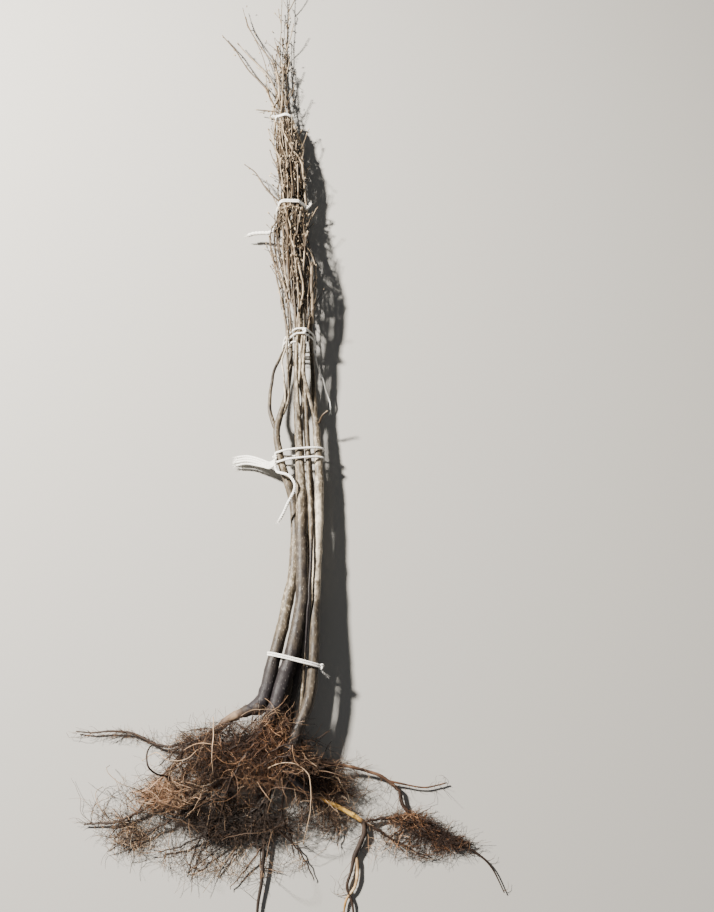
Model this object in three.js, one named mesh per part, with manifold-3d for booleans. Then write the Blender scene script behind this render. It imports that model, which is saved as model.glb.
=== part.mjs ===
import { BufferAttribute, BufferGeometry, Group, Mesh, MeshStandardMaterial, Vector3 } from 'three'
import Module from 'manifold-3d'

const wasm = await Module()
wasm.setup()

// A bundle of five young bare-rooted trees lying on the ground, tied in five places.
// Millimetres. +Y runs from the roots to the crown, +Z is up, the ground is z = 0.

// Faceting
const STEM_SIDES = 8
const STRAND_SIDES = 5
const TWIG_SIDES = 4
const ROOT_SIDES = 6
const ROOTLET_SIDES = 3
const STEM_STEP = 46
const STRAND_STEP = 70
const TWIG_STEP = 40
const ROOT_STEP = 17

// Gaps between separate pieces
const SEAT_GAP = 0.3
const SEAT_RUN = 2.5
const SEAT_RUN_SHARE = 0.36
const FREE_GAP = 0.7

// Stems from the flat cut at the collar into the bundle: x, y, z, diameter
const STEMS = {
  stem_left: [
    [-34, -622, 47, 18], [-29, -609, 46, 16], [-19, -559, 42, 14], [-4, -480, 35, 13],
    [3, -411, 28, 12.5], [-2, -329, 21, 12], [-24, -259, 26, 11.5], [-33, -203, 28, 11],
    [-22, -150, 30, 9.5], [-15, -92, 33, 9],
  ],
  stem_centre: [
    [-18, -640, 49, 22], [-14, -627, 48, 20], [-6, -596, 47, 18.5], [5, -559, 46, 18],
    [16, -496, 43, 17], [15, -421, 40, 15], [10, -325, 35, 14.5], [6, -249, 32, 14],
    [-1, -170, 34, 11.5], [-4, -109, 41, 10],
  ],
  stem_under: [
    [-3, -665, 34, 18], [0, -653, 33, 16], [6, -619, 30, 14], [13, -571, 27, 13],
    [24, -417, 23, 12], [25, -321, 21, 11], [18, -244, 19, 10], [9, -145, 19, 9],
    [3, -79, 20, 8.5],
  ],
  stem_right: [
    [7, -687, 44, 19], [11, -674, 45, 17], [16, -659, 46, 16], [31, -617, 44, 15],
    [36, -566, 43, 13.5], [36, -480, 38, 12.5], [37, -405, 34, 12.5], [38, -324, 30, 13],
    [35, -247, 28, 13], [28, -177, 28, 11], [24, -113, 31, 9.5],
  ],
  stem_slender: [
    [19, -667, 31, 7], [21, -603, 38, 5.5], [23, -559, 43, 5.5], [27, -481, 50, 5.5],
    [28, -406, 45, 6.5], [24, -326, 36, 7], [19, -250, 34, 7], [14, -171, 36, 7],
    [9, -102, 44, 6.5],
  ],
  bough_left: [
    [-41, -192, 28, 7], [-47, -158, 28, 6.5], [-44, -103, 29, 6],
  ],
}

// Where each stem ends in the bundle: y of its tip, tip diameter, and its lane there
const STEM_ENDS = {
  stem_left: { tip: 215, diameter: 5.4, lane: [-0.66, 0.2] },
  stem_centre: { tip: 300, diameter: 5.8, lane: [-0.2, 0.72] },
  stem_under: { tip: 170, diameter: 5, lane: [0.06, -0.42] },
  stem_right: { tip: 330, diameter: 5.2, lane: [0.84, 0.22] },
  stem_slender: { tip: 120, diameter: 4.6, lane: [0.36, 0.84] },
  bough_left: { tip: 60, diameter: 4.8, lane: [-0.93, -0.22] },
}

// The bundle's outline: y, centre x, centre z, half width, half height
const BUNDLE = [
  [-60, 0, 32, 28, 27], [-27, -1, 31, 27, 27], [49, -6, 34, 31, 31], [113, -13, 34, 37, 31],
  [179, -28, 31, 35, 28], [253, -22, 28, 25, 23], [345, -28, 26, 27, 22], [421, -39, 23, 25, 19],
  [474, -46, 19, 16, 15], [583, -57, 16, 13, 12], [698, -59, 14, 13, 10], [823, -60, 11, 13, 7],
  [900, -61, 9, 13, 5],
]

// Strands that show singly: parent, diameter, tip diameter, then y and lane at each point
const LEADERS = [
  { node: 'crown_left', from: 'bough_left', d: 4.8, tip: 2.6,
    keys: [[60, -0.93, -0.22], [253, -0.94, -0.22], [400, -0.95, 0.1], [474, -0.98, 0.1], [530, -1, 0.35],
      [690, -1, 0.6]] },
  { node: 'crown_left_leader', from: 'stem_left', d: 5.2, tip: 2.6,
    keys: [[215, -0.66, 0.2], [400, -0.6, 0.25], [600, -0.45, -0.1], [700, -0.6, -0.1], [888, -0.78, 0]] },
  { node: 'crown_centre_leader', from: 'stem_centre', d: 5.6, tip: 2.4,
    keys: [[300, -0.2, 0.72], [474, -0.05, 0.6], [620, 0.2, 0.2], [700, 0.6, 0], [888, 0.75, 0]] },
  { node: 'crown_under_leader', from: 'stem_under', d: 4.8, tip: 2.2,
    keys: [[170, 0.06, -0.42], [400, 0.1, -0.4], [600, -0.2, -0.85], [780, -0.05, -0.8]] },
  { node: 'crown_right_leader', from: 'stem_right', d: 5, tip: 2.2,
    keys: [[330, 0.84, 0.22], [421, 0.86, 0.1], [474, 0.8, -0.1], [600, 0.7, -0.6], [730, 0.5, -0.7]] },
  { node: 'crown_slender_leader', from: 'stem_slender', d: 4.4, tip: 2.2,
    keys: [[120, 0.36, 0.84], [253, 0.45, 0.78], [421, 0.5, 0.7], [520, 0.45, 0.7], [640, 0.5, 0.5]] },
]

// Side masses: parent stem, where the first strand leaves it, and how many strands grow in it
const SIDE_MASSES = [
  { node: 'crown_a', from: 'stem_left', start: -118, strands: 3 },
  { node: 'crown_b', from: 'stem_centre', start: -150, strands: 4 },
  { node: 'crown_c', from: 'stem_right', start: -168, strands: 4 },
  { node: 'crown_d', from: 'stem_under', start: -130, strands: 3 },
  { node: 'crown_e', from: 'stem_left', start: -15, strands: 3 },
  { node: 'crown_g', from: 'stem_right', start: -12, strands: 4 },
  { node: 'crown_k', from: 'stem_slender', start: -60, strands: 3 },
]
const SIDE_SEED = 4233
const STRAND_REACH = [230, 640]
const STRAND_TOP = 850
const STRAND_DIAMETER = [3.2, 4.6]
const STRAND_TIP = 2
const STRAND_TRIES = 60
const STRAND_STARTS = 14
const STRAND_WOBBLE = 0.05

// Short side twigs that stand out of the bundle
const TWIG_SEED = 911
const TWIG_SPACING = 104
const TWIG_LENGTH = [26, 84]
const TWIG_DIAMETER = [2.6, 1.6]
const TWIG_TRIES = 4
const TIE_KEEP_OUT = 15

// Twigs that spread from the bundle by hand: node, x, y, z and diameter at each point
const SPRAYS = [
  { node: 'crown_left', points: [[-80, 541, 18, 3.4], [-90, 569, 18, 3.2], [-114, 599, 19, 3],
    [-132, 626, 18, 2.8], [-161, 684, 14, 2.4], [-191, 731, 10, 1.8]], join: 505 },
  { node: 'crown_left', points: [[-82, 590, 22, 3], [-97, 612, 24, 2.8], [-115, 636, 23, 2.4],
    [-136, 668, 20, 2.2], [-156, 703, 15, 1.6]], join: 548 },
  { node: 'crown_left', points: [[-80, 640, 21, 2.8], [-97, 668, 22, 2.6], [-112, 696, 20, 2.4],
    [-135, 750, 14, 2], [-145, 788, 10, 1.6]], join: 590 },
  { node: 'crown_left', points: [[-89, 508, 17, 2.4], [-105, 512, 15, 1.8]], join: 500 },
  { node: 'crown_left', points: [[-71, 290, 30, 3], [-98, 335, 30, 2.4], [-118, 355, 28, 1.6]], join: 266 },
]

// Ties: y at the middle, slope across, strands, strand radius, and which end carries the knot
const TIES = {
  tie_collar: { y: -564, slope: -0.24, strands: [0], knot: 'right' },
  tie_low: { y: -250, slope: 0.09, strands: [-8, 8], knot: 'left' },
  tie_middle: { y: -34, slope: 0, strands: [-4.5, 4.5], knot: 'top' },
  tie_high: { y: 245, slope: -0.02, strands: [0, 4], knot: 'right' },
  tie_top: { y: 473, slope: -0.06, strands: [0], knot: 'left' },
}
const TIE_RADIUS = 1.6
const TIE_POINTS = 16
const TIE_SIDES = 4
const TIE_GAP = 0.45
const KNOT_SIZE = [5.2, 4.4, 4]
const TIE_TAILS = {
  tie_low: [
    [[0, 0, 0], [-14, 4, -4], [-36, 12, -10]],
    [[0, 0, 0], [4, -12, 14], [17, -19, 20], [29, -25, 22], [32, -38, 22], [30, -57, 20], [21, -72, 16]],
  ],
  tie_middle: [
    [[0, 0, 0], [6, -12, 5.5], [18, -34, -2], [30, -62, -12], [38, -92, -22]],
  ],
  tie_high: [
    [[0, 0, 0], [7, 8, 1], [12, 10, 0]],
  ],
}

// Woody roots: the limb each one starts on, whether at its cut, tip or side, then x, y, z, diameter
const ROOTS = {
  root_left: {
    from: 'stem_left', at: 'cut', points: [[-34, -622, 47, 17], [-50, -632, 43, 12.5], [-65, -637, 38, 10.5],
      [-82, -645, 31, 9], [-99, -659, 24, 7.5], [-122, -672, 18, 6.5], [-146, -690, 14, 6], [-160, -712, 12, 5]],
  },
  root_left_side: {
    from: 'root_left', at: 'side', points: [[-132, -670, 20, 4.6], [-148, -675, 14, 4.2], [-164, -679, 10, 4],
      [-181, -677, 8, 3.6]],
  },
  root_centre: {
    from: 'stem_centre', at: 'cut', points: [[-18, -640, 49, 20], [-30, -659, 43, 14], [-39, -672, 38, 12]],
  },
  root_under: {
    from: 'stem_under', at: 'cut', points: [[-3, -665, 34, 17], [-11, -689, 30, 11], [-18, -715, 24, 9],
      [-23, -742, 17, 7.5]],
  },
  root_right: {
    from: 'stem_right', at: 'cut', points: [[7, -687, 44, 18], [9, -710, 40, 11], [19, -726, 33, 8.5],
      [34, -738, 24, 7.5], [54, -747, 14, 7], [77, -757, 9, 6.5], [104, -772, 7, 5.5]],
  },
  root_right_low: {
    from: 'root_right', at: 'tip', points: [[106, -774, 7, 5.6], [107, -786, 6.5, 6.4], [102, -797, 6, 6.2],
      [94, -814, 5, 5.5], [89, -832, 4.5, 4], [84, -848, 4, 3.6], [90, -867, 3.5, 3], [94, -888, 3, 2]],
  },
  root_right_upper: {
    from: 'root_right', at: 'side', points: [[20, -700, 41, 6], [36, -693, 32, 5.5], [60, -700, 22, 5],
      [90, -705, 14, 5], [129, -716, 9, 4.5], [153, -733, 7, 4]],
  },
  root_right_far: {
    from: 'root_right_upper', at: 'tip', points: [[156, -738, 7, 4.2], [160, -753, 6.5, 4.6], [174, -769, 6, 5]],
  },
}

// Forks fused into a woody root
const ROOT_FORKS = [
  { node: 'root_right_low', points: [[95, -812, 5, 4.4], [98, -830, 5, 4], [94, -849, 4, 3.2],
    [83, -864, 3.5, 2.8], [79, -886, 3, 2]] },
  { node: 'root_right_upper', points: [[140, -723, 8.2, 3.4], [158, -726, 7, 2.8], [190, -731, 5, 2.2],
    [221, -725, 4, 1.6]] },
]

// Fibrous roots: the limb they start on, main fibre, space they keep to, rootlets, and a core if any
const FIBRES = {
  fibres_left_upper: {
    from: 'root_left_side', at: 'tip',
    main: [[-184.5, -676, 8, 3.6], [-201, -669, 7, 3.4], [-223, -661, 6, 3], [-252, -659, 6, 2.6],
      [-277, -661, 5, 2.2], [-300, -659, 4, 1.6]],
    space: [[-302, -742, 0], [-128, -622, 34]], rootlets: 12, length: [34, 92], seed: 21,
  },
  fibres_left_lower: {
    from: 'root_left', at: 'tip',
    main: [[-162, -716.5, 12, 5], [-170, -736, 11, 4.5], [-184, -753, 9, 4], [-206, -764, 8, 3.5],
      [-228, -773, 6, 3], [-272, -776, 4, 1.8]],
    space: [[-286, -846, 0], [-112, -700, 52]], rootlets: 20, length: [38, 92], seed: 22,
    core: { at: [-182, -762, 13], half: [46, 30, 19] },
  },
  fibres_centre: {
    from: 'root_centre', at: 'tip',
    main: [[-42, -676, 37, 11], [-58, -694, 33, 9], [-76, -712, 28, 7], [-98, -730, 18, 5]],
    space: [[-150, -806, 0], [-26, -652, 66]], rootlets: 26, length: [42, 100], seed: 23,
    core: { at: [-80, -708, 26], half: [50, 38, 27] },
  },
  fibres_under: {
    from: 'root_under', at: 'tip',
    main: [[-23.5, -746.5, 16, 7], [-26, -782, 11, 5.5], [-27, -818, 8, 4.5], [-28, -841, 6, 4.5],
      [-32, -869, 5, 4], [-32, -888, 4, 3]],
    space: [[-112, -858, 0], [66, -728, 60]], rootlets: 24, length: [38, 96], seed: 24,
    core: { at: [-30, -786, 15], half: [50, 30, 20] },
  },
  fibres_slender: {
    from: 'stem_slender', at: 'cut',
    main: [[20, -671.5, 29, 6], [29, -690, 20, 4.5], [44, -719, 10, 4], [66, -730, 8, 3],
      [92, -742, 6, 2]],
    space: [[-20, -804, 0], [128, -662, 66]], rootlets: 13, length: [40, 96], seed: 25,
  },
  fibres_right: {
    from: 'root_right_far', at: 'tip',
    main: [[178, -772, 6, 4.6], [198, -782, 6, 4.2], [216, -793, 5.5, 3.8], [237, -801, 5, 3.2],
      [258, -811, 4.5, 2.6], [276, -828, 4, 2.2], [290, -856, 3, 1.4]],
    space: [[112, -856, 0], [300, -746, 30]], rootlets: 16, length: [36, 88], seed: 26,
  },
}
const ROOTLET_DIAMETER = [2.9, 1.9]
const ROOTLET_POINTS = 4
const ROOTLET_TURN = 0.5
const ROOTLET_SINK = 0.16
const ROOTLET_TRIES = 5
const CORE_RINGS = 6
const CORE_SECTORS = 10
const CORE_LUMPS = 0.1
const CORE_SHARE = 0.75
const CORE_ROOT = 0.8

// Seeded numbers from 0 to 1
function seededRandom(seed) {
  let state = seed >>> 0
  return () => {
    state = (state + 0x6d2b79f5) >>> 0
    let mixed = Math.imul(state ^ (state >>> 15), state | 1)
    mixed ^= mixed + Math.imul(mixed ^ (mixed >>> 7), mixed | 61)
    return ((mixed ^ (mixed >>> 14)) >>> 0) / 4294967296
  }
}

const between = (range, share) => range[0] + (range[1] - range[0]) * share
const smooth = (t) => t * t * (3 - 2 * t)
const clamp01 = (t) => Math.min(1, Math.max(0, t))

// Smooth curve through points, each row a list of numbers
function curveThrough(rows, step) {
  const out = []
  for (let i = 0; i < rows.length - 1; i += 1) {
    const before = rows[Math.max(0, i - 1)]
    const from = rows[i]
    const to = rows[i + 1]
    const after = rows[Math.min(rows.length - 1, i + 2)]
    const span = Math.hypot(to[0] - from[0], to[1] - from[1], to[2] - from[2])
    const parts = Math.max(1, Math.round(span / step))
    for (let k = 0; k < parts; k += 1) {
      const t = k / parts
      out.push(from.map((value, n) => 0.5 * (2 * value + (to[n] - before[n]) * t
        + (2 * before[n] - 5 * value + 4 * to[n] - after[n]) * t * t
        + (3 * value - before[n] - 3 * to[n] + after[n]) * t * t * t)))
    }
  }
  out.push(rows[rows.length - 1].slice())
  return out
}

// The bundle's outline at y: centre x, centre z, half width, half height
function bundleAt(y) {
  let i = 0
  while (i < BUNDLE.length - 2 && y > BUNDLE[i + 1][0]) i += 1
  const t = clamp01((y - BUNDLE[i][0]) / (BUNDLE[i + 1][0] - BUNDLE[i][0]))
  const s = smooth(t) * 0.5 + t * 0.5
  return BUNDLE[i].map((value, n) => value + (BUNDLE[i + 1][n] - value) * s)
}

// A point of a lane: the lane's place in the outline, drawn in by the strand's radius
function lanePoint(y, u, v, radius) {
  const outline = bundleAt(y)
  return [outline[1] + u * (outline[3] - radius), y, outline[2] + v * (outline[4] - radius)]
}

// Shortest distance between two straight pieces
function pieceDistance(p1, q1, p2, q2) {
  const dx1 = q1[0] - p1[0]
  const dy1 = q1[1] - p1[1]
  const dz1 = q1[2] - p1[2]
  const dx2 = q2[0] - p2[0]
  const dy2 = q2[1] - p2[1]
  const dz2 = q2[2] - p2[2]
  const rx = p1[0] - p2[0]
  const ry = p1[1] - p2[1]
  const rz = p1[2] - p2[2]
  const a = dx1 * dx1 + dy1 * dy1 + dz1 * dz1
  const e = dx2 * dx2 + dy2 * dy2 + dz2 * dz2
  const f = dx2 * rx + dy2 * ry + dz2 * rz
  const c = dx1 * rx + dy1 * ry + dz1 * rz
  const b = dx1 * dx2 + dy1 * dy2 + dz1 * dz2
  const denom = a * e - b * b
  let s = denom > 1e-9 ? clamp01((b * f - c * e) / denom) : 0
  let t = (b * s + f) / e
  if (t < 0) {
    t = 0
    s = clamp01(-c / a)
  } else if (t > 1) {
    t = 1
    s = clamp01((b - c) / a)
  }
  return Math.hypot(rx + dx1 * s - dx2 * t, ry + dy1 * s - dy2 * t, rz + dz1 * s - dz2 * t)
}

// Everything placed so far, as straight pieces with a radius
const placed = []

function record(node, rows) {
  for (let i = 0; i < rows.length - 1; i += 1) {
    const radius = Math.max(rows[i][3], rows[i + 1][3]) / 2
    placed.push({ node, a: rows[i], b: rows[i + 1], radius })
  }
}

// True when the rows keep clear of what is placed. Their first pieces may lie close to the parent
// they leave: fused with it where it is the same node, or a seat gap away from it.
function isClear(rows, node, parent, nearPieces) {
  for (let i = 0; i < rows.length - 1; i += 1) {
    const radius = Math.max(rows[i][3], rows[i + 1][3]) / 2
    const low = Math.min(rows[i][1], rows[i + 1][1]) - 16
    const high = Math.max(rows[i][1], rows[i + 1][1]) + 16
    for (const other of placed) {
      if (Math.max(other.a[1], other.b[1]) < low || Math.min(other.a[1], other.b[1]) > high) continue
      const near = i < nearPieces && other.node === parent
      if (near && parent === node) continue
      const need = radius + other.radius + (near ? SEAT_GAP * 0.6 : FREE_GAP)
      if (pieceDistance(rows[i], rows[i + 1], other.a, other.b) < need) return false
    }
  }
  return true
}

// Closed tube with flat ends along rows of x, y, z, diameter
function tube(rows, sides, lap = false) {
  const count = rows.length
  const points = rows.map((row) => new Vector3(row[0], row[1], row[2]))
  const tangents = points.map((point, i) => {
    const next = points[lap ? (i + 1) % count : Math.min(count - 1, i + 1)]
    const last = points[lap ? (i + count - 1) % count : Math.max(0, i - 1)]
    return next.clone().sub(last).normalize()
  })
  const vertices = []
  const triangles = []
  let side = new Vector3(0, 0, 1).cross(tangents[0])
  if (side.length() < 0.2) side = new Vector3(0, 1, 0).cross(tangents[0])
  if (lap) side = new Vector3(0, 1, 0)
  for (let i = 0; i < count; i += 1) {
    side.sub(tangents[i].clone().multiplyScalar(side.dot(tangents[i]))).normalize()
    const up = tangents[i].clone().cross(side)
    const radius = rows[i][3] / 2
    for (let k = 0; k < sides; k += 1) {
      const angle = (2 * Math.PI * (k + 0.5)) / sides
      const x = Math.cos(angle) * radius
      const y = Math.sin(angle) * radius
      vertices.push(points[i].x + side.x * x + up.x * y)
      vertices.push(points[i].y + side.y * x + up.y * y)
      vertices.push(points[i].z + side.z * x + up.z * y)
    }
  }
  const rings = lap ? count : count - 1
  for (let i = 0; i < rings; i += 1) {
    for (let k = 0; k < sides; k += 1) {
      const a = i * sides + k
      const b = i * sides + ((k + 1) % sides)
      const c = ((i + 1) % count) * sides + k
      const d = ((i + 1) % count) * sides + ((k + 1) % sides)
      triangles.push(a, b, d, a, d, c)
    }
  }
  if (!lap) {
    const last = (count - 1) * sides
    for (let k = 1; k < sides - 1; k += 1) {
      triangles.push(0, k + 1, k)
      triangles.push(last, last + k, last + k + 1)
    }
  }
  return { vertices, triangles }
}

// Lumpy rounded body, flat where it would pass under the ground
function lump(at, half, rings, sectors, lumps, random) {
  const vertices = []
  const triangles = []
  vertices.push(at[0], at[1], at[2] + half[2])
  for (let i = 1; i < rings; i += 1) {
    const slope = (Math.PI * i) / rings
    for (let k = 0; k < sectors; k += 1) {
      const turn = (2 * Math.PI * k) / sectors
      const swell = 1 + lumps * (2 * random() - 1)
      const x = Math.sin(slope) * Math.cos(turn) * half[0] * swell
      const y = Math.sin(slope) * Math.sin(turn) * half[1] * swell
      const z = Math.cos(slope) * half[2] * swell
      vertices.push(at[0] + x, at[1] + y, Math.max(0, at[2] + z))
    }
  }
  vertices.push(at[0], at[1], Math.max(0, at[2] - half[2]))
  const foot = vertices.length / 3 - 1
  for (let k = 0; k < sectors; k += 1) {
    const next = (k + 1) % sectors
    triangles.push(0, 1 + k, 1 + next)
    const base = 1 + (rings - 2) * sectors
    triangles.push(foot, base + next, base + k)
  }
  for (let i = 0; i < rings - 2; i += 1) {
    for (let k = 0; k < sectors; k += 1) {
      const a = 1 + i * sectors + k
      const b = 1 + i * sectors + ((k + 1) % sectors)
      const c = a + sectors
      const d = b + sectors
      triangles.push(a, c, d, a, d, b)
    }
  }
  return { vertices, triangles }
}

// Rows that start squarely on a parent's cut, tip or side, a seat gap away
function seatedOn(parent, at, rows) {
  const count = parent.length
  let foot = parent[0].slice(0, 3)
  let way = [0, 1, 2].map((n) => parent[0][n] - parent[1][n])
  let stand = SEAT_GAP
  if (at === 'tip') {
    foot = parent[count - 1].slice(0, 3)
    way = [0, 1, 2].map((n) => parent[count - 1][n] - parent[count - 2][n])
  }
  if (at === 'side') {
    let best = Infinity
    for (let i = 0; i < count - 1; i += 1) {
      const run = [0, 1, 2].map((n) => parent[i + 1][n] - parent[i][n])
      const off = [0, 1, 2].map((n) => rows[0][n] - parent[i][n])
      const square = run[0] * run[0] + run[1] * run[1] + run[2] * run[2]
      const t = clamp01((run[0] * off[0] + run[1] * off[1] + run[2] * off[2]) / square)
      const near = [0, 1, 2].map((n) => parent[i][n] + run[n] * t)
      const far = Math.hypot(rows[0][0] - near[0], rows[0][1] - near[1], rows[0][2] - near[2])
      if (far >= best) continue
      best = far
      foot = near
      way = [0, 1, 2].map((n) => rows[0][n] - near[n])
      stand = (parent[i][3] + (parent[i + 1][3] - parent[i][3]) * t) / 2 + SEAT_GAP
    }
  }
  const length = Math.hypot(way[0], way[1], way[2])
  const step = (far) => [0, 1, 2].map((n) => foot[n] + (way[n] / length) * far)
  const run = Math.max(SEAT_RUN, rows[0][3] * SEAT_RUN_SHARE)
  return [[...step(stand), rows[0][3]], [...step(stand + run), rows[0][3]], ...rows.slice(1)]
}

// Bodies of each node, fused at the end
const bodies = new Map()

function addBody(node, shape) {
  if (!bodies.has(node)) bodies.set(node, [])
  bodies.get(node).push(shape)
}

// Stems: the drawn part, then along the lane to the tip
const stemRows = {}
for (const [node, drawn] of Object.entries(STEMS)) {
  const end = STEM_ENDS[node]
  const rows = drawn.map((row) => row.slice())
  const last = drawn[drawn.length - 1]
  for (let y = -34; y < end.tip; y += 62) {
    const share = (y - last[1]) / (end.tip - last[1])
    const diameter = last[3] + (end.diameter - last[3]) * share
    rows.push([...lanePoint(y, end.lane[0], end.lane[1], diameter / 2), diameter])
  }
  rows.push([...lanePoint(end.tip, end.lane[0], end.lane[1], end.diameter / 2), end.diameter])
  const curve = curveThrough(rows, STEM_STEP)
  stemRows[node] = node === 'bough_left' ? seatedOn(stemRows.stem_left, 'side', curve) : curve
  record(node, stemRows[node])
  addBody(node, tube(stemRows[node], node === 'bough_left' ? 6 : STEM_SIDES))
}

// Place and diameter of a path at y, for paths that run along the bundle
function rowAt(rows, y) {
  for (let i = 0; i < rows.length - 1; i += 1) {
    if (rows[i][1] <= y && rows[i + 1][1] >= y) {
      const t = (y - rows[i][1]) / (rows[i + 1][1] - rows[i][1])
      return rows[i].map((value, n) => value + (rows[i + 1][n] - value) * t)
    }
  }
  return null
}

const strands = []

function keepStrand(node, rows) {
  strands.push({ node, rows })
  record(node, rows)
  addBody(node, tube(rows, STRAND_SIDES))
}

// Leaders carry each stem on from its tip
for (const leader of LEADERS) {
  const keys = leader.keys
  const rows = []
  const first = keys[0][0]
  const last = keys[keys.length - 1][0]
  const parts = Math.round((last - first) / STRAND_STEP)
  for (let i = 0; i <= parts; i += 1) {
    const y = first + ((last - first) * i) / parts
    let k = 0
    while (k < keys.length - 2 && y > keys[k + 1][0]) k += 1
    const t = smooth(clamp01((y - keys[k][0]) / (keys[k + 1][0] - keys[k][0])))
    const u = keys[k][1] + (keys[k + 1][1] - keys[k][1]) * t
    const v = keys[k][2] + (keys[k + 1][2] - keys[k][2]) * t
    const diameter = leader.d + ((leader.tip - leader.d) * i) / parts
    rows.push([...lanePoint(y, u, v, diameter / 2), diameter])
  }
  keepStrand(leader.node, seatedOn(stemRows[leader.from], 'tip', rows))
}

// One strand that leaves its parent and moves over to a lane of its own
function growStrand(node, parentNode, parent, start, random) {
  const fused = parentNode === node
  const from = rowAt(parent, start)
  if (!from) return null
  for (let n = 0; n < STRAND_TRIES; n += 1) {
    const turn = 2 * Math.PI * random()
    const out = Math.sqrt(random()) * 0.94
    const u = Math.cos(turn) * out
    const v = Math.sin(turn) * out
    const diameter = between(STRAND_DIAMETER, random())
    const end = Math.min(STRAND_TOP, start + between(STRAND_REACH, random()))
    const shift = 50 + 70 * random()
    const phase = 2 * Math.PI * random()
    const parts = Math.max(3, Math.round((end - start) / STRAND_STEP))
    const goal = lanePoint(start + shift, u, v, diameter / 2)
    const side = [goal[0] - from[0], goal[2] - from[2]]
    const width = Math.hypot(side[0], side[1])
    const stand = fused ? 0 : from[3] / 2 + diameter / 2 + SEAT_GAP
    const rows = []
    for (let i = 0; i <= parts; i += 1) {
      const along = i === 0 ? 0 : (i - 0.4) / (parts - 0.4)
      const y = start + (end - start) * along
      const wave = STRAND_WOBBLE * Math.sin(phase + y / 70)
      const thick = diameter + (STRAND_TIP - diameter) * (i / parts)
      const lane = lanePoint(y, u + wave, v - wave, thick / 2)
      const share = smooth(clamp01((y - start) / shift))
      const near = [from[0] + (side[0] / width) * stand, from[2] + (side[1] / width) * stand]
      rows.push([near[0] + (lane[0] - near[0]) * share, y, near[1] + (lane[2] - near[1]) * share, thick])
    }
    if (fused) {
      rows[0][3] = Math.min(diameter, from[3] * 0.8)
    }
    if (isClear(rows, node, parentNode, 2)) return rows
  }
  return null
}

const sideRandom = seededRandom(SIDE_SEED)
for (const mass of SIDE_MASSES) {
  let first = null
  for (let n = 0; n < STRAND_STARTS && !first; n += 1) {
    first = growStrand(mass.node, mass.from, stemRows[mass.from], mass.start + n * 14, sideRandom)
  }
  if (!first) continue
  keepStrand(mass.node, first)
  const own = [first]
  for (let k = 1; k < mass.strands; k += 1) {
    const parent = own[Math.floor(sideRandom() * own.length)]
    const low = parent[0][1] + 30
    const high = parent[0][1] + (parent[parent.length - 1][1] - parent[0][1]) * 0.6
    let next = null
    for (let n = 0; n < STRAND_STARTS && !next; n += 1) {
      const start = low + (high - low) * sideRandom()
      next = growStrand(mass.node, mass.node, parent, start, sideRandom)
    }
    if (!next) continue
    keepStrand(mass.node, next)
    own.push(next)
  }
}

// Twigs drawn singly: each joins its strand at the given y
for (const spray of SPRAYS) {
  const strand = strands.find((item) => item.node === spray.node)
  const foot = rowAt(strand.rows, spray.join)
  const drawn = [[foot[0], foot[1], foot[2], Math.min(foot[3] * 0.8, spray.points[0][3])], ...spray.points]
  const rows = curveThrough(drawn, TWIG_STEP)
  if (!isClear(rows, spray.node, spray.node, 99)) continue
  record(spray.node, rows)
  addBody(spray.node, tube(rows, TWIG_SIDES))
}

// Side twigs by a seeded rule, left out where they would touch anything or cross a tie
const twigRandom = seededRandom(TWIG_SEED)
const tieRows = Object.values(TIES).map((tie) => tie.y)
for (const strand of strands) {
  const rows = strand.rows
  const low = rows[0][1] + 30
  const high = rows[rows.length - 1][1] - 12
  for (let y = low + TWIG_SPACING * twigRandom(); y < high; y += TWIG_SPACING * (0.6 + 0.8 * twigRandom())) {
    const foot = rowAt(rows, y)
    const outline = bundleAt(y)
    for (let n = 0; n < TWIG_TRIES; n += 1) {
      const away = Math.atan2(foot[2] - outline[2], foot[0] - outline[1]) + 1.6 * (twigRandom() - 0.5)
      const lean = 0.2 + 0.35 * twigRandom()
      const length = between(TWIG_LENGTH, twigRandom() ** 1.6)
      const twig = []
      for (let k = 0; k <= 3; k += 1) {
        const t = k / 3
        const out = length * Math.sin(lean) * (t - 0.3 * t * t)
        const z = foot[2] + Math.sin(away) * out
        const thick = TWIG_DIAMETER[0] + (TWIG_DIAMETER[1] - TWIG_DIAMETER[0]) * t
        const x = foot[0] + Math.cos(away) * out
        twig.push([x, y + length * Math.cos(lean) * t, Math.max(thick / 2, z), Math.min(thick, foot[3] * 0.7)])
      }
      const top = twig[3][1]
      const crosses = tieRows.some((at) => top > at - TIE_KEEP_OUT && y < at + TIE_KEEP_OUT)
      if (crosses || top > 880) continue
      if (!isClear(twig, strand.node, strand.node, 99)) continue
      record(strand.node, twig)
      addBody(strand.node, tube(twig, TWIG_SIDES))
      break
    }
  }
}

// One short twig low on the right stem
const lowTwig = seatedOn(stemRows.stem_right, 'side', [[37, -192, 34, 2.6], [41, -184, 42, 2.4], [47, -180, 46, 1.8]])
record('twig_low', lowTwig)
addBody('twig_low', tube(lowTwig, TWIG_SIDES))

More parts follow.
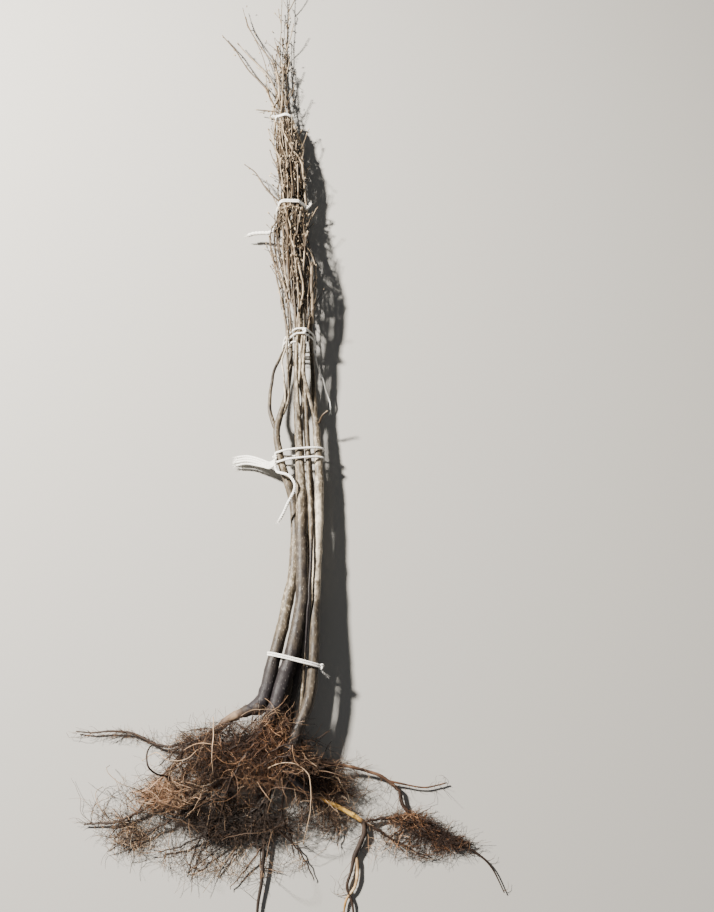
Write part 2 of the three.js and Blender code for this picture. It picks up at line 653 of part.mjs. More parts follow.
// Ring round every stem and strand that crosses the line y0 + slope * x: straight runs pulled against
// the outermost ones, pushed out by a distance
function ringRound(y0, slope, out) {
  const crossings = []
  for (const piece of placed) {
    const at = piece.a[1] - y0 - slope * piece.a[0]
    const to = piece.b[1] - y0 - slope * piece.b[0]
    if (at > 3 && to > 3) continue
    if (at < -3 && to < -3) continue
    const t = clamp01(at / (at - to || 1e-9))
    const x = piece.a[0] + (piece.b[0] - piece.a[0]) * t
    const z = piece.a[2] + (piece.b[2] - piece.a[2]) * t
    crossings.push([x, z, piece.radius])
  }
  const turn = (2 * Math.PI) / TIE_POINTS
  const reach = []
  for (let k = 0; k < TIE_POINTS; k += 1) {
    const across = Math.cos(turn * k)
    const up = Math.sin(turn * k)
    reach.push(Math.max(...crossings.map((item) => item[0] * across + item[1] * up + item[2])) + out)
  }
  return reach.map((far, k) => {
    const along = (reach[(k + 1) % TIE_POINTS] - far * Math.cos(turn)) / Math.sin(turn)
    const x = far * Math.cos(turn * k) - along * Math.sin(turn * k)
    const z = far * Math.sin(turn * k) + along * Math.cos(turn * k)
    return [x, y0 + slope * x, z]
  })
}

// Ties: rings pulled round the bundle, a knot, and the string's tails
for (const [node, tie] of Object.entries(TIES)) {
  const rings = tie.strands.map((offset) => ringRound(tie.y + offset, tie.slope, TIE_RADIUS + TIE_GAP))
  for (const ring of rings) {
    addBody(node, tube(ring.map((row) => [...row, TIE_RADIUS * 2]), TIE_SIDES, true))
  }
  const score = { left: (row) => -row[0] + row[2] * 0.5, right: (row) => row[0] + row[2] * 0.4, top: (row) => row[2] }
  const pick = score[tie.knot]
  const ends = rings.map((ring) => ring.reduce((best, row) => (pick(row) > pick(best) ? row : best)))
  const middle = [0, 1, 2].map((n) => ends.reduce((sum, row) => sum + row[n], 0) / ends.length)
  const outline = bundleAt(tie.y)
  const away = tie.y < -100 ? [middle[0] - 8, middle[2] - 34] : [middle[0] - outline[1], middle[2] - outline[2]]
  const far = Math.hypot(away[0], away[1])
  const knot = [middle[0] + (away[0] / far) * 1.6, middle[1], middle[2] + (away[1] / far) * 1.6]
  if (ends.length > 1) {
    const reach = ends.map((row) => [row[0] + (away[0] / far) * 0.8, row[1], row[2] + (away[1] / far) * 0.8])
    addBody(node, tube([[...reach[0], 3.2], [...knot, 3.6], [...reach[1], 3.2]], TIE_SIDES))
  }
  addBody(node, lump(knot, KNOT_SIZE.map((size) => size / 2 + 0.4), 4, 6, 0.08, seededRandom(5)))
  for (const tail of TIE_TAILS[node] ?? []) {
    const rows = tail.map((row, i) => [knot[0] + row[0], knot[1] + row[1], Math.max(1.3, knot[2] + row[2]), i ? 2.4 : 2.8])
    addBody(node, tube(curveThrough(rows, 24), TIE_SIDES))
  }
}

// Woody roots and their forks
const limbRows = { ...stemRows }
for (const [node, root] of Object.entries(ROOTS)) {
  const rows = seatedOn(limbRows[root.from], root.at, curveThrough(root.points, ROOT_STEP))
  limbRows[node] = rows
  record(node, rows)
  addBody(node, tube(rows, ROOT_SIDES))
}
for (const fork of ROOT_FORKS) {
  const rows = curveThrough(fork.points, ROOT_STEP)
  record(fork.node, rows)
  addBody(fork.node, tube(rows, ROOT_SIDES))
}

// Main fibres and cores first, so that the rootlets can keep clear of them
for (const [node, mass] of Object.entries(FIBRES)) {
  mass.rows = seatedOn(limbRows[mass.from], mass.at, curveThrough(mass.main, ROOT_STEP * 1.5))
  record(node, mass.rows)
  addBody(node, tube(mass.rows, STRAND_SIDES))
  if (!mass.core) continue
  const core = lump(mass.core.at, mass.core.half, CORE_RINGS, CORE_SECTORS, CORE_LUMPS, seededRandom(mass.seed))
  mass.coreShape = core
}

// A point well outside another mass's core
function outsideCores(point, node, margin) {
  for (const [other, mass] of Object.entries(FIBRES)) {
    if (!mass.core || other === node) continue
    const grow = 1 + CORE_LUMPS
    const reach = mass.core.half.map((size) => size * grow + margin)
    const gap = [0, 1, 2].map((n) => (point[n] - mass.core.at[n]) / reach[n])
    if (Math.hypot(gap[0], gap[1], gap[2]) < 1) return false
  }
  return true
}

// Rootlets: a turning walk from the main fibre that sinks towards the ground
for (const [node, mass] of Object.entries(FIBRES)) {
  const random = seededRandom(mass.seed * 97)
  const grown = [mass.rows]
  for (let n = 0; n < mass.rootlets; n += 1) {
    for (let attempt = 0; attempt < ROOTLET_TRIES; attempt += 1) {
      const parent = grown[Math.floor(random() * Math.min(grown.length, 7))]
      const at = Math.max(parent === mass.rows ? 2 : 0, Math.floor(random() * (parent.length - 1)))
      const share = random()
      let foot = parent[at].map((value, k) => value + (parent[at + 1][k] - value) * share)
      const length = between(mass.length, random())
      const ahead = Math.atan2(parent[at + 1][1] - parent[at][1], parent[at + 1][0] - parent[at][0])
      let turn = ahead + (random() < 0.5 ? -1 : 1) * (0.4 + 1.5 * random())
      let rise = 0.9 * (random() - 0.35)
      if (mass.core && random() < CORE_SHARE) {
        const { at: middle, half } = mass.core
        const round = 2 * Math.PI * random()
        const height = random() * 0.7
        const out = CORE_ROOT * Math.sqrt(1 - height * height)
        turn = round + 0.8 * (random() - 0.5)
        foot = [middle[0] + Math.cos(round) * half[0] * out, middle[1] + Math.sin(round) * half[1] * out,
          middle[2] + half[2] * CORE_ROOT * height, ROOTLET_DIAMETER[0] * 2]
      }
      const rows = [[foot[0], foot[1], foot[2], Math.min(ROOTLET_DIAMETER[0], foot[3] * 0.8)]]
      let point = foot
      for (let k = 1; k <= ROOTLET_POINTS; k += 1) {
        turn += ROOTLET_TURN * (2 * random() - 1)
        rise -= ROOTLET_SINK * (0.5 + random())
        const step = length / ROOTLET_POINTS
        const thick = between(ROOTLET_DIAMETER, k / ROOTLET_POINTS)
        const z = Math.max(thick / 2 + 0.2, point[2] + Math.sin(rise) * step)
        point = [point[0] + Math.cos(turn) * Math.cos(rise) * step, point[1] + Math.sin(turn) * Math.cos(rise) * step, z]
        rows.push([...point, thick])
      }
      const inside = rows.every((row) => [0, 1, 2].every((k) => row[k] >= mass.space[0][k] && row[k] <= mass.space[1][k]))
      if (!inside) continue
      if (!rows.every((row) => outsideCores(row, node, 3))) continue
      if (!isClear(rows, node, node, 99)) continue
      record(node, rows)
      addBody(node, tube(rows, ROOTLET_SIDES))
      grown.push(rows)
      break
    }
  }
  if (mass.coreShape) addBody(node, mass.coreShape)
}

// Fuse the bodies of each node and name them
const COLOURS = { stem: 0x8d8470, bough: 0x8d8470, crown: 0xb7a37c, twig: 0xb7a37c, tie: 0xf2f2ee, root: 0x8a4f2c, fibres: 0x9a4a26 }

function solidOf(shape) {
  const vertProperties = new Float32Array(shape.vertices)
  const triVerts = new Uint32Array(shape.triangles)
  return new wasm.Manifold(new wasm.Mesh({ numProp: 3, vertProperties, triVerts }))
}

function geometryOf(shapes) {
  let solid = solidOf(shapes[0])
  for (const shape of shapes.slice(1)) {
    solid = solid.add(solidOf(shape))
  }
  const mesh = solid.getMesh()
  const geometry = new BufferGeometry()
  geometry.setAttribute('position', new BufferAttribute(new Float32Array(mesh.vertProperties), 3))
  geometry.setIndex(new BufferAttribute(new Uint32Array(mesh.triVerts), 1))
  return geometry
}

const part = new Group()
part.name = 'bare_rooted_sapling_bundle'
for (const [node, shapes] of bodies) {
  const colour = COLOURS[node.split('_')[0]]
  const mesh = new Mesh(geometryOf(shapes), new MeshStandardMaterial({ color: colour, roughness: 0.8 }))
  mesh.name = node
  part.add(mesh)
}

export default part
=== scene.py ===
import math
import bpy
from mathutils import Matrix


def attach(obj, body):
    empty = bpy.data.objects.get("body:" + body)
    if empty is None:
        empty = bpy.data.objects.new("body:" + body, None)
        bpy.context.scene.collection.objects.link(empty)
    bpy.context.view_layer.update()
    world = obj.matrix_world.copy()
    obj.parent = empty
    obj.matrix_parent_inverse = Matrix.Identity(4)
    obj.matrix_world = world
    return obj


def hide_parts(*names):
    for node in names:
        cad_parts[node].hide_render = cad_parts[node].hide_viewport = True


bl_info = {
    "name": "Bare Rooted Sapling Bundle",
    "version": (1, 0, 0),
    "blender": (4, 5, 0),
    "location": "3D View > Sidebar > Saplings",
    "description": "Grows a tied bundle of young bare-rooted trees, from fine roots to buds",
    "category": "Add Mesh",
}

from functools import cache

import bpy
import numpy as np
from bpy.props import FloatProperty, FloatVectorProperty, IntProperty, PointerProperty
from mathutils import Vector

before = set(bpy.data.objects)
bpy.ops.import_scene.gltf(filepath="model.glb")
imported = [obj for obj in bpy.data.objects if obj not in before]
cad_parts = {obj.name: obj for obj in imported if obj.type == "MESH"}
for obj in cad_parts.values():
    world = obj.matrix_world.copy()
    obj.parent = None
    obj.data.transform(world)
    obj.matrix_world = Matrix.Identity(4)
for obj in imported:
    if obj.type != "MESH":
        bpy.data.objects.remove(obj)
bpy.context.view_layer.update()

MM = 0.001

# Stems from the collar into the bundle: x, y, z, diameter, in millimetres
STEMS = {
    "stem_left": [
        [-34, -622, 47, 18], [-29, -609, 46, 16], [-19, -559, 42, 14], [-4, -480, 35, 13],
        [3, -411, 28, 12.5], [-2, -329, 21, 12], [-24, -259, 26, 11.5], [-33, -203, 28, 11],
        [-22, -150, 30, 9.5], [-15, -92, 33, 9],
    ],
    "stem_centre": [
        [-18, -640, 49, 22], [-14, -627, 48, 20], [-6, -596, 47, 18.5], [5, -559, 46, 18],
        [16, -496, 43, 17], [15, -421, 40, 15], [10, -325, 35, 14.5], [6, -249, 32, 14],
        [-1, -170, 34, 11.5], [-4, -109, 41, 10],
    ],
    "stem_under": [
        [-3, -665, 34, 18], [0, -653, 33, 16], [6, -619, 30, 14], [13, -571, 27, 13],
        [24, -417, 23, 12], [25, -321, 21, 11], [18, -244, 19, 10], [9, -145, 19, 9],
        [3, -79, 20, 8.5],
    ],
    "stem_right": [
        [7, -687, 44, 19], [11, -674, 45, 17], [16, -659, 46, 16], [31, -617, 44, 15],
        [36, -566, 43, 13.5], [36, -480, 38, 12.5], [37, -405, 34, 12.5], [38, -324, 30, 13],
        [35, -247, 28, 13], [28, -177, 28, 11], [24, -113, 31, 9.5],
    ],
    "stem_slender": [
        [19, -667, 31, 7], [21, -603, 38, 5.5], [23, -559, 43, 5.5], [27, -481, 50, 5.5],
        [28, -406, 45, 6.5], [24, -326, 36, 7], [19, -250, 34, 7], [14, -171, 36, 7],
        [9, -102, 44, 6.5],
    ],
    "bough_left": [[-41, -192, 28, 7], [-47, -158, 28, 6.5], [-44, -103, 29, 6]],
}

# Where each stem ends in the bundle: y of its tip, tip diameter, and its lane there
STEM_ENDS = {
    "stem_left": (215, 5.4, (-0.66, 0.2)),
    "stem_centre": (300, 5.8, (-0.2, 0.72)),
    "stem_under": (170, 5, (0.06, -0.42)),
    "stem_right": (330, 5.2, (0.84, 0.22)),
    "stem_slender": (120, 4.6, (0.36, 0.84)),
    "bough_left": (60, 4.8, (-0.93, -0.22)),
}

# The bundle's outline: y, centre x, centre z, half width, half height
BUNDLE = [
    [-60, 0, 32, 28, 27], [-27, -1, 31, 27, 27], [49, -6, 34, 31, 31], [113, -13, 34, 37, 31],
    [179, -28, 31, 35, 28], [253, -22, 28, 25, 23], [345, -28, 26, 27, 22], [421, -39, 23, 25, 19],
    [474, -46, 19, 16, 15], [583, -57, 16, 13, 12], [698, -59, 14, 13, 10], [823, -60, 11, 13, 7],
    [900, -61, 9, 13, 5],
]

# Strands that show singly: node, stem they carry on, diameter, tip diameter, then y and lane
LEADERS = [
    ("crown_left", "bough_left", 4.8, 2.6,
     [[60, -0.93, -0.22], [253, -0.94, -0.22], [400, -0.95, 0.1], [474, -0.98, 0.1], [530, -1, 0.35],
      [690, -1, 0.6]]),
    ("crown_left_leader", "stem_left", 5.2, 2.6,
     [[215, -0.66, 0.2], [400, -0.6, 0.25], [600, -0.45, -0.1], [700, -0.6, -0.1], [888, -0.78, 0]]),
    ("crown_centre_leader", "stem_centre", 5.6, 2.4,
     [[300, -0.2, 0.72], [474, -0.05, 0.6], [620, 0.2, 0.2], [700, 0.6, 0], [888, 0.75, 0]]),
    ("crown_under_leader", "stem_under", 4.8, 2.2,
     [[170, 0.06, -0.42], [400, 0.1, -0.4], [600, -0.2, -0.85], [780, -0.05, -0.8]]),
    ("crown_right_leader", "stem_right", 5, 2.2,
     [[330, 0.84, 0.22], [421, 0.86, 0.1], [474, 0.8, -0.1], [600, 0.7, -0.6], [730, 0.5, -0.7]]),
    ("crown_slender_leader", "stem_slender", 4.4, 2.2,
     [[120, 0.36, 0.84], [253, 0.45, 0.78], [421, 0.5, 0.7], [520, 0.45, 0.7], [640, 0.5, 0.5]]),
]

# Side masses: node, the stem they leave, where the first strand leaves it, and their strands
SIDE_MASSES = [
    ("crown_a", "stem_left", -118, 3),
    ("crown_b", "stem_centre", -150, 4),
    ("crown_c", "stem_right", -168, 4),
    ("crown_d", "stem_under", -130, 3),
    ("crown_e", "stem_left", -15, 3),
    ("crown_g", "stem_right", -12, 4),
    ("crown_k", "stem_slender", -60, 3),
]
SIDE_SEED = 4233
STRAND_REACH = (230, 640)
STRAND_TOP = 850
STRAND_LANES = 0.94
STRAND_SHIFT = (50, 120)
STRAND_DIAMETER = (3.2, 4.6)
STRAND_TIP = 2
STRAND_TRIES = 60
STRAND_WOBBLE = 0.05
STRAND_WAVE = 70
STRAND_STEP = 70
STEM_STEP = 46

# Where strands are tried: how many places, their distance, and how far from the parent's ends
STRAND_STARTS = 14
START_STEP = 14
START_MARGIN = 30
START_SHARE = 0.6
ALL_PIECES = 99

# Lanes that carry the stems on: where they begin along the bundle, and their step
LANES_START = -34
LANES_STEP = 62

# Short side twigs
TWIG_SEED = 911
TWIG_SPACING = 104
TWIG_LENGTH = (26, 84)
TWIG_DIAMETER = (2.6, 1.6)
TWIG_TRIES = 4
TWIG_STEP = 40
TWIG_TIP_MARGIN = 12
TWIG_TOP = 880
TIE_KEEP_OUT = 15

# Thin strands in the gaps, with the stems that carry some of them
FINE_STEMS = [("crown_a", "stem_left"), ("crown_b", "stem_centre"), ("crown_c", "stem_right"),
              ("crown_k", "stem_slender")]
FINE_TRIES = 30
FINE_START = (-215, 360)
FINE_MARGINS = (20, 30)
FINE_SHIFT = (30, 70)
FINE_STEP = 34
FINE_WOBBLE = 0.07
FINE_WAVE = 46
FINE_TOP = (400, 520)
FINE_REACH = (150, 420)
FINE_DIAMETER = (2.2, 3.6)
FINE_TIP = 1.2
FINE_OVERLAP = 1.1

# Spurs off every strand, and thin twigs that lie round the bundle
SPUR_LENGTH = (5, 44)
SPUR_DIAMETER = 1.7
SPUR_TIP = 0.8
SPUR_PARTS = 4
SPUR_TOP = 886
SPUR_KEEP_OUT = 9
TANGLE_MARGIN = 12
TANGLE_LENGTH = (18, 90)
TANGLE_DIAMETER = (1.1, 2.0)

# Where the crown comes out of the top tie
CROWN_TOP = 470

# Twigs of the left-hand fan: x, y, z and diameter at each point, and where each one joins
SPRAYS = [
    ([[-80, 541, 18, 3.4], [-90, 569, 18, 3.2], [-114, 599, 19, 3], [-132, 626, 18, 2.8],
      [-161, 684, 14, 2.4], [-191, 731, 10, 1.8]], 505),
    ([[-82, 590, 22, 3], [-97, 612, 24, 2.8], [-115, 636, 23, 2.4], [-136, 668, 20, 2.2],
      [-156, 703, 15, 1.6]], 548),
    ([[-80, 640, 21, 2.8], [-97, 668, 22, 2.6], [-112, 696, 20, 2.4], [-135, 750, 14, 2],
      [-145, 788, 10, 1.6]], 590),
    ([[-89, 508, 17, 2.4], [-105, 512, 15, 1.8]], 500),
    ([[-71, 290, 30, 3], [-98, 335, 30, 2.4], [-118, 355, 28, 1.6]], 266),
]
LOW_TWIG = [[37, -192, 34, 2.6], [41, -184, 42, 2.4], [47, -180, 46, 1.8]]

# Gaps between separate limbs
SEAT_GAP = 0.3
SEAT_RUN = 2.5
SEAT_RUN_SHARE = 0.36
FREE_GAP = 0.7
NEAR_REACH = 16

# String of each tie: width against the plain width, shifts of its turns, and sag of its sides
TIE_STRING = {
    "tie_collar": (0.95, (-1.5, 1.5), 0),
    "tie_low": (1.2, (0,), 0),
    "tie_middle": (1.1, (0,), 20),
    "tie_high": (1.1, (0,), 8),
    "tie_top": (1.3, (-1, 1.2), 3),
}

# Ties: y at the middle, slope across, strands, and which end carries the knot
TIES = {
    "tie_collar": (-564, -0.24, (0,), "right"),
    "tie_low": (-250, 0.09, (-8, 8), "left"),
    "tie_middle": (-34, 0, (-4.5, 4.5), "top"),
    "tie_high": (245, -0.02, (0, 4), "right"),
    "tie_top": (473, -0.06, (0,), "left"),
}
TIE_ROWS = [tie[0] for tie in TIES.values()]
TIE_RADIUS = 1.6
TIE_GAP = 0.45
TIE_REACH = 3
TIE_CLEARANCE = 2.2
TIE_POINTS = 16
TIE_PINCH = 0.22
PINCH_REACH = 16
TIE_TAILS = {
    "tie_collar": [(1.0, [[-1, -3, 0], [3, -8, -3], [6, -10, -6]])],
    "tie_low": [
        (1.3, [[1, -4, 2], [-8, -8, -2], [-18, -3, -7], [-31, 4, -13], [-48, 10, -19], [-64, 10, -23]]),
        (1.3, [[1, -7, 2], [-8, -11, -2], [-18, -7, -7], [-31, 0, -13], [-48, 6, -19], [-66, 5, -24]]),
        (1.4, [[1, -10, 2], [-8, -14, -2], [-18, -10, -7], [-31, -4, -13], [-48, 2, -19], [-66, 1, -24]]),
        (1.3, [[1, -12, 2], [-8, -17, -2], [-18, -13, -7], [-31, -8, -13], [-48, -3, -19], [-65, -4, -24]]),
        (1.5, [[0, -10, 4], [4, -25, 6], [14, -31, 12], [23, -35, 15], [29, -41, 17], [34, -50, 17],
               [34, -60, 17], [30, -70, 16], [25, -79, 14], [21, -88, 12], [17, -97, 10], [12, -106, 8]]),
    ],
    "tie_middle": [
        (0.8, [[14, -8, -18], [16, -28, -25], [21, -51, -30], [30, -72, -36], [35, -91, -42], [42, -111, -47],
               [43, -124, -51]]),
        (0.9, [[-34, -22, -26], [-22, -17, -10], [-12, -20, -5], [-8, -28, -5]]),
    ],
    "tie_high": [
        (1.2, [[0, 0, 0], [6, 3, 1], [8, 8, 0]]),
        (2.3, [[-44, -26, -6], [-55, -43, -2], [-66, -50, -8], [-82, -48, -12], [-97, -46, -16],
               [-108, -48, -19]]),
    ],
    "tie_top": [(1.2, [[0, 0, 0], [-6, 3, -1]])],
}

# Woody roots: the limb each one starts on, whether at its cut, tip or side, then x, y, z, diameter
ROOTS = {
    "root_left": ("stem_left", "cut", [
        [-34, -622, 47, 17], [-50, -632, 43, 12.5], [-65, -637, 38, 10.5], [-82, -645, 31, 9],
        [-99, -659, 24, 7.5], [-122, -672, 18, 6.5], [-146, -690, 14, 6], [-160, -712, 12, 5]]),
    "root_left_side": ("root_left", "side", [
        [-132, -670, 20, 4.6], [-148, -675, 14, 4.2], [-164, -679, 10, 4], [-181, -677, 8, 3.6]]),
    "root_centre": ("stem_centre", "cut", [[-18, -640, 49, 20], [-30, -659, 43, 14], [-39, -672, 38, 12]]),
    "root_under": ("stem_under", "cut", [
        [-3, -665, 34, 17], [-11, -689, 30, 11], [-18, -715, 24, 9], [-23, -742, 17, 7.5]]),
    "root_right": ("stem_right", "cut", [
        [7, -687, 44, 18], [9, -710, 40, 11], [19, -726, 33, 8.5], [34, -738, 24, 7.5],
        [54, -747, 14, 7], [77, -757, 9, 6.5], [104, -772, 7, 5.5]]),
    "root_right_low": ("root_right", "tip", [
        [106, -774, 7, 5.6], [107, -786, 6.5, 6.4], [102, -797, 6, 6.2], [94, -814, 5, 5.5],
        [89, -832, 4.5, 4], [84, -848, 4, 3.6], [90, -867, 3.5, 3], [94, -888, 3, 2]]),
    "root_right_upper": ("root_right", "side", [
        [20, -700, 41, 6], [36, -693, 32, 5.5], [60, -700, 22, 5], [90, -705, 14, 5],
        [129, -716, 9, 4.5], [153, -733, 7, 4]]),
    "root_right_far": ("root_right_upper", "tip", [
        [156, -738, 7, 4.2], [160, -753, 6.5, 4.6], [174, -769, 6, 5]]),
}
ROOT_FORKS = [
    ("root_right_low", [[95, -812, 5, 4.4], [98, -830, 5, 4], [94, -849, 4, 3.2], [83, -864, 3.5, 2.8],
                        [79, -886, 3, 2]]),
    ("root_right_upper", [[140, -723, 8.2, 3.4], [158, -726, 7, 2.8], [190, -731, 5, 2.2],
                          [221, -725, 4, 1.6]]),
]
ROOT_STEP = 17
FIBRE_STEP = ROOT_STEP * 1.5

# Fibrous roots: the limb they start on, at which end, and their main fibre
FIBRES = {
    "fibres_left_upper": ("root_left_side", "tip", [
        [-184.5, -676, 8, 3.6], [-201, -669, 7, 3.4], [-223, -661, 6, 3], [-252, -659, 6, 2.6],
        [-277, -661, 5, 2.2], [-300, -659, 4, 1.6]]),
    "fibres_left_lower": ("root_left", "tip", [
        [-162, -716.5, 12, 5], [-170, -736, 11, 4.5], [-184, -753, 9, 4], [-206, -764, 8, 3.5],
        [-228, -773, 6, 3], [-272, -776, 4, 1.8]]),
    "fibres_centre": ("root_centre", "tip", [
        [-42, -676, 37, 11], [-58, -694, 33, 9], [-76, -712, 28, 7], [-98, -730, 18, 5]]),
    "fibres_under": ("root_under", "tip", [
        [-23.5, -746.5, 16, 7], [-26, -782, 11, 5.5], [-27, -818, 8, 4.5], [-28, -841, 6, 4.5],
        [-32, -869, 5, 4], [-32, -888, 4, 3]]),
    "fibres_slender": ("stem_slender", "cut", [
        [20, -671.5, 29, 6], [29, -690, 20, 4.5], [44, -719, 10, 4], [66, -730, 8, 3], [92, -742, 6, 2]]),
    "fibres_right": ("root_right_far", "tip", [
        [178, -772, 6, 4.6], [198, -782, 6, 4.2], [216, -793, 5.5, 3.8], [237, -801, 5, 3.2],
        [258, -811, 4.5, 2.6], [276, -828, 4, 2.2], [290, -856, 3, 1.4]]),
}

# Spaces that the fine roots fill: node, middle, half sizes, and share of the roots
ROOT_SPACES = [
    ("fibres_centre", (-62, -694, 30), (94, 46, 30), 1.0),
    ("fibres_centre", (-30, -664, 34), (46, 28, 22), 0.3),
    ("fibres_centre", (-126, -678, 24), (44, 24, 20), 0.26),
    ("fibres_left_lower", (-160, -738, 18), (50, 26, 20), 0.42),
    ("fibres_left_lower", (-196, -790, 6), (50, 30, 8), 0.27),
    ("fibres_left_lower", (-245, -748, 5), (58, 26, 6), 0.03),
    ("fibres_left_upper", (-235, -664, 7), (66, 10, 7), 0.03),
    ("fibres_under", (-52, -770, 11), (98, 34, 15), 0.8),
    ("fibres_under", (-74, -822, 4), (112, 24, 6), 0.17),
    ("fibres_centre", (-20, -655, 60), (34, 30, 11), 0.2),
    ("fibres_centre", (12, -696, 52), (42, 24, 12), 0.18),
    ("fibres_centre", (-90, -657, 40), (42, 14, 9), 0.1),
    ("fibres_slender", (52, -728, 12), (56, 32, 15), 0.28),
    ("fibres_slender", (54, -766, 8), (46, 26, 9), 0.16),
    ("fibres_right", (136, -768, 6), (30, 13, 7), 0.1),
    ("fibres_right", (166, -768, 7), (32, 13, 8), 0.16),
    ("fibres_right", (194, -782, 7), (30, 14, 9), 0.2),
    ("fibres_right", (222, -796, 7), (30, 13, 8), 0.18),
    ("fibres_right", (166, -800, 4), (76, 24, 5), 0.18),
]
ROOT_CEILING = 69
TWIG_CEILING = 70
ROOT_EDGES = (-318, 306, -908)

# Places where the fine roots look different: middle, reach, how much lighter, how rusty; the darkest ones are
# painted shade
ROOT_PLACES = [
    ((-60, -688), (86, 40), -0.16, 0.6),
    ((-10, -670), (40, 34), 0.02, 0.3),
    ((-163, -740), (40, 19), 0.3, 0.4),
    # Painted shade: the dark band under the upper mass's lower edge
    ((-70, -774), (130, 27), -0.5, -0.1),
    # Painted shade in three hollows of the mass (this row and the next two)
    ((-68, -667), (30, 12), -0.5, 0),
    ((-105, -708), (22, 10), -0.4, 0),
    ((-136, -681), (26, 10), -0.4, 0),
    ((-200, -797), (36, 24), 0.08, 0),
    ((-80, -832), (120, 22), 0.1, -0.1),
    ((171, -767), (22, 9), 0.3, 0.3),
    ((205, -788), (60, 26), -0.46, 0.9),
    ((52, -728), (50, 30), -0.05, 0.1),
]

# Single fine roots that stand out: tone, diameter, then x, y, z at each point
LONE_ROOTS = [
    (0.84, 1.17, [[-21, -705, 50], [-2, -699, 56], [18, -701, 58], [33, -713, 56], [36, -732, 48],
        [35, -756, 34], [28, -782, 16], [22, -800, 6]]),
    (0.88, 1.33, [[-100, -641, 46], [-96, -670, 54], [-95, -702, 44], [-95, -723, 34]]),
    (0.86, 1.09, [[-196, -696, 26], [-169, -684, 40], [-155, -692, 40], [-139, -694, 40], [-126, -689, 40],
        [-116, -678, 40], [-100, -676, 40]]),
    (0.82, 0.94, [[-136, -683, 45], [-126, -677, 45], [-108, -675, 45], [-85, -679, 45], [-71, -689, 45]]),
    (0.64, 0.82, [[-246, -703, 6], [-218, -719, 10], [-193, -731, 16], [-182, -741, 20]]),
    (0.69, 0.9, [[-253, -730, 5], [-216, -773, 8]]),
    (0.62, 0.9, [[-208, -746, 10], [-196, -753, 14], [-181, -758, 18], [-170, -754, 20]]),
    (0.64, 0.66, [[-147, -781, 22], [-134, -815, 8]]),
    (0.68, 0.82, [[-39, -720, 40], [-8, -750, 20], [0, -758, 14]]),
    (0.62, 0.74, [[-4, -712, 44], [1, -732, 34], [10, -745, 22], [11, -756, 14]]),
    (0.58, 0.74, [[29, -711, 30], [54, -708, 26], [81, -715, 18], [97, -724, 12], [101, -734, 6]]),
    (0.6, 0.74, [[-102, -648, 44], [-113, -695, 44], [-129, -708, 32]]),
    (0.5, 0.65, [[0, -772, 22], [-18, -779, 22], [-44, -781, 22], [-68, -787, 20], [-82, -794, 14]]),
    (0.58, 0.66, [[-126, -768, 24], [-116, -782, 18], [-112, -795, 10], [-110, -812, 5]]),
    (0.62, 0.74, [[-15, -782, 16], [-17, -810, 8], [-18, -836, 5]]),
    (0.7, 0.6, [[-60, -640, 56], [-48, -634, 62], [-39, -632, 66], [-23, -632, 70], [-5, -634, 68]]),
    (0.68, 0.6, [[-32, -650, 66], [-24, -639, 69], [-17, -633, 71], [-9, -628, 70], [-2, -621, 64]]),
    (0.68, 0.6, [[-28, -618, 64], [-19, -624, 70], [-13, -634, 71], [-7, -644, 69], [-4, -655, 62]]),
    (0.68, 0.6, [[-22, -641, 68], [-14, -636, 71], [-6, -638, 69], [0, -648, 60]]),
    (0.54, 0.74, [[-30, -748, 30], [-14, -730, 36], [12, -728, 36], [40, -738, 24], [62, -742, 14]]),
    (0.56, 0.66, [[-70, -706, 50], [-60, -722, 50], [-58, -740, 40], [-48, -756, 30]]),
    (0.14, 2.4, [[-186, -676, 16], [-176, -705, 16], [-160, -716, 18]]),
]

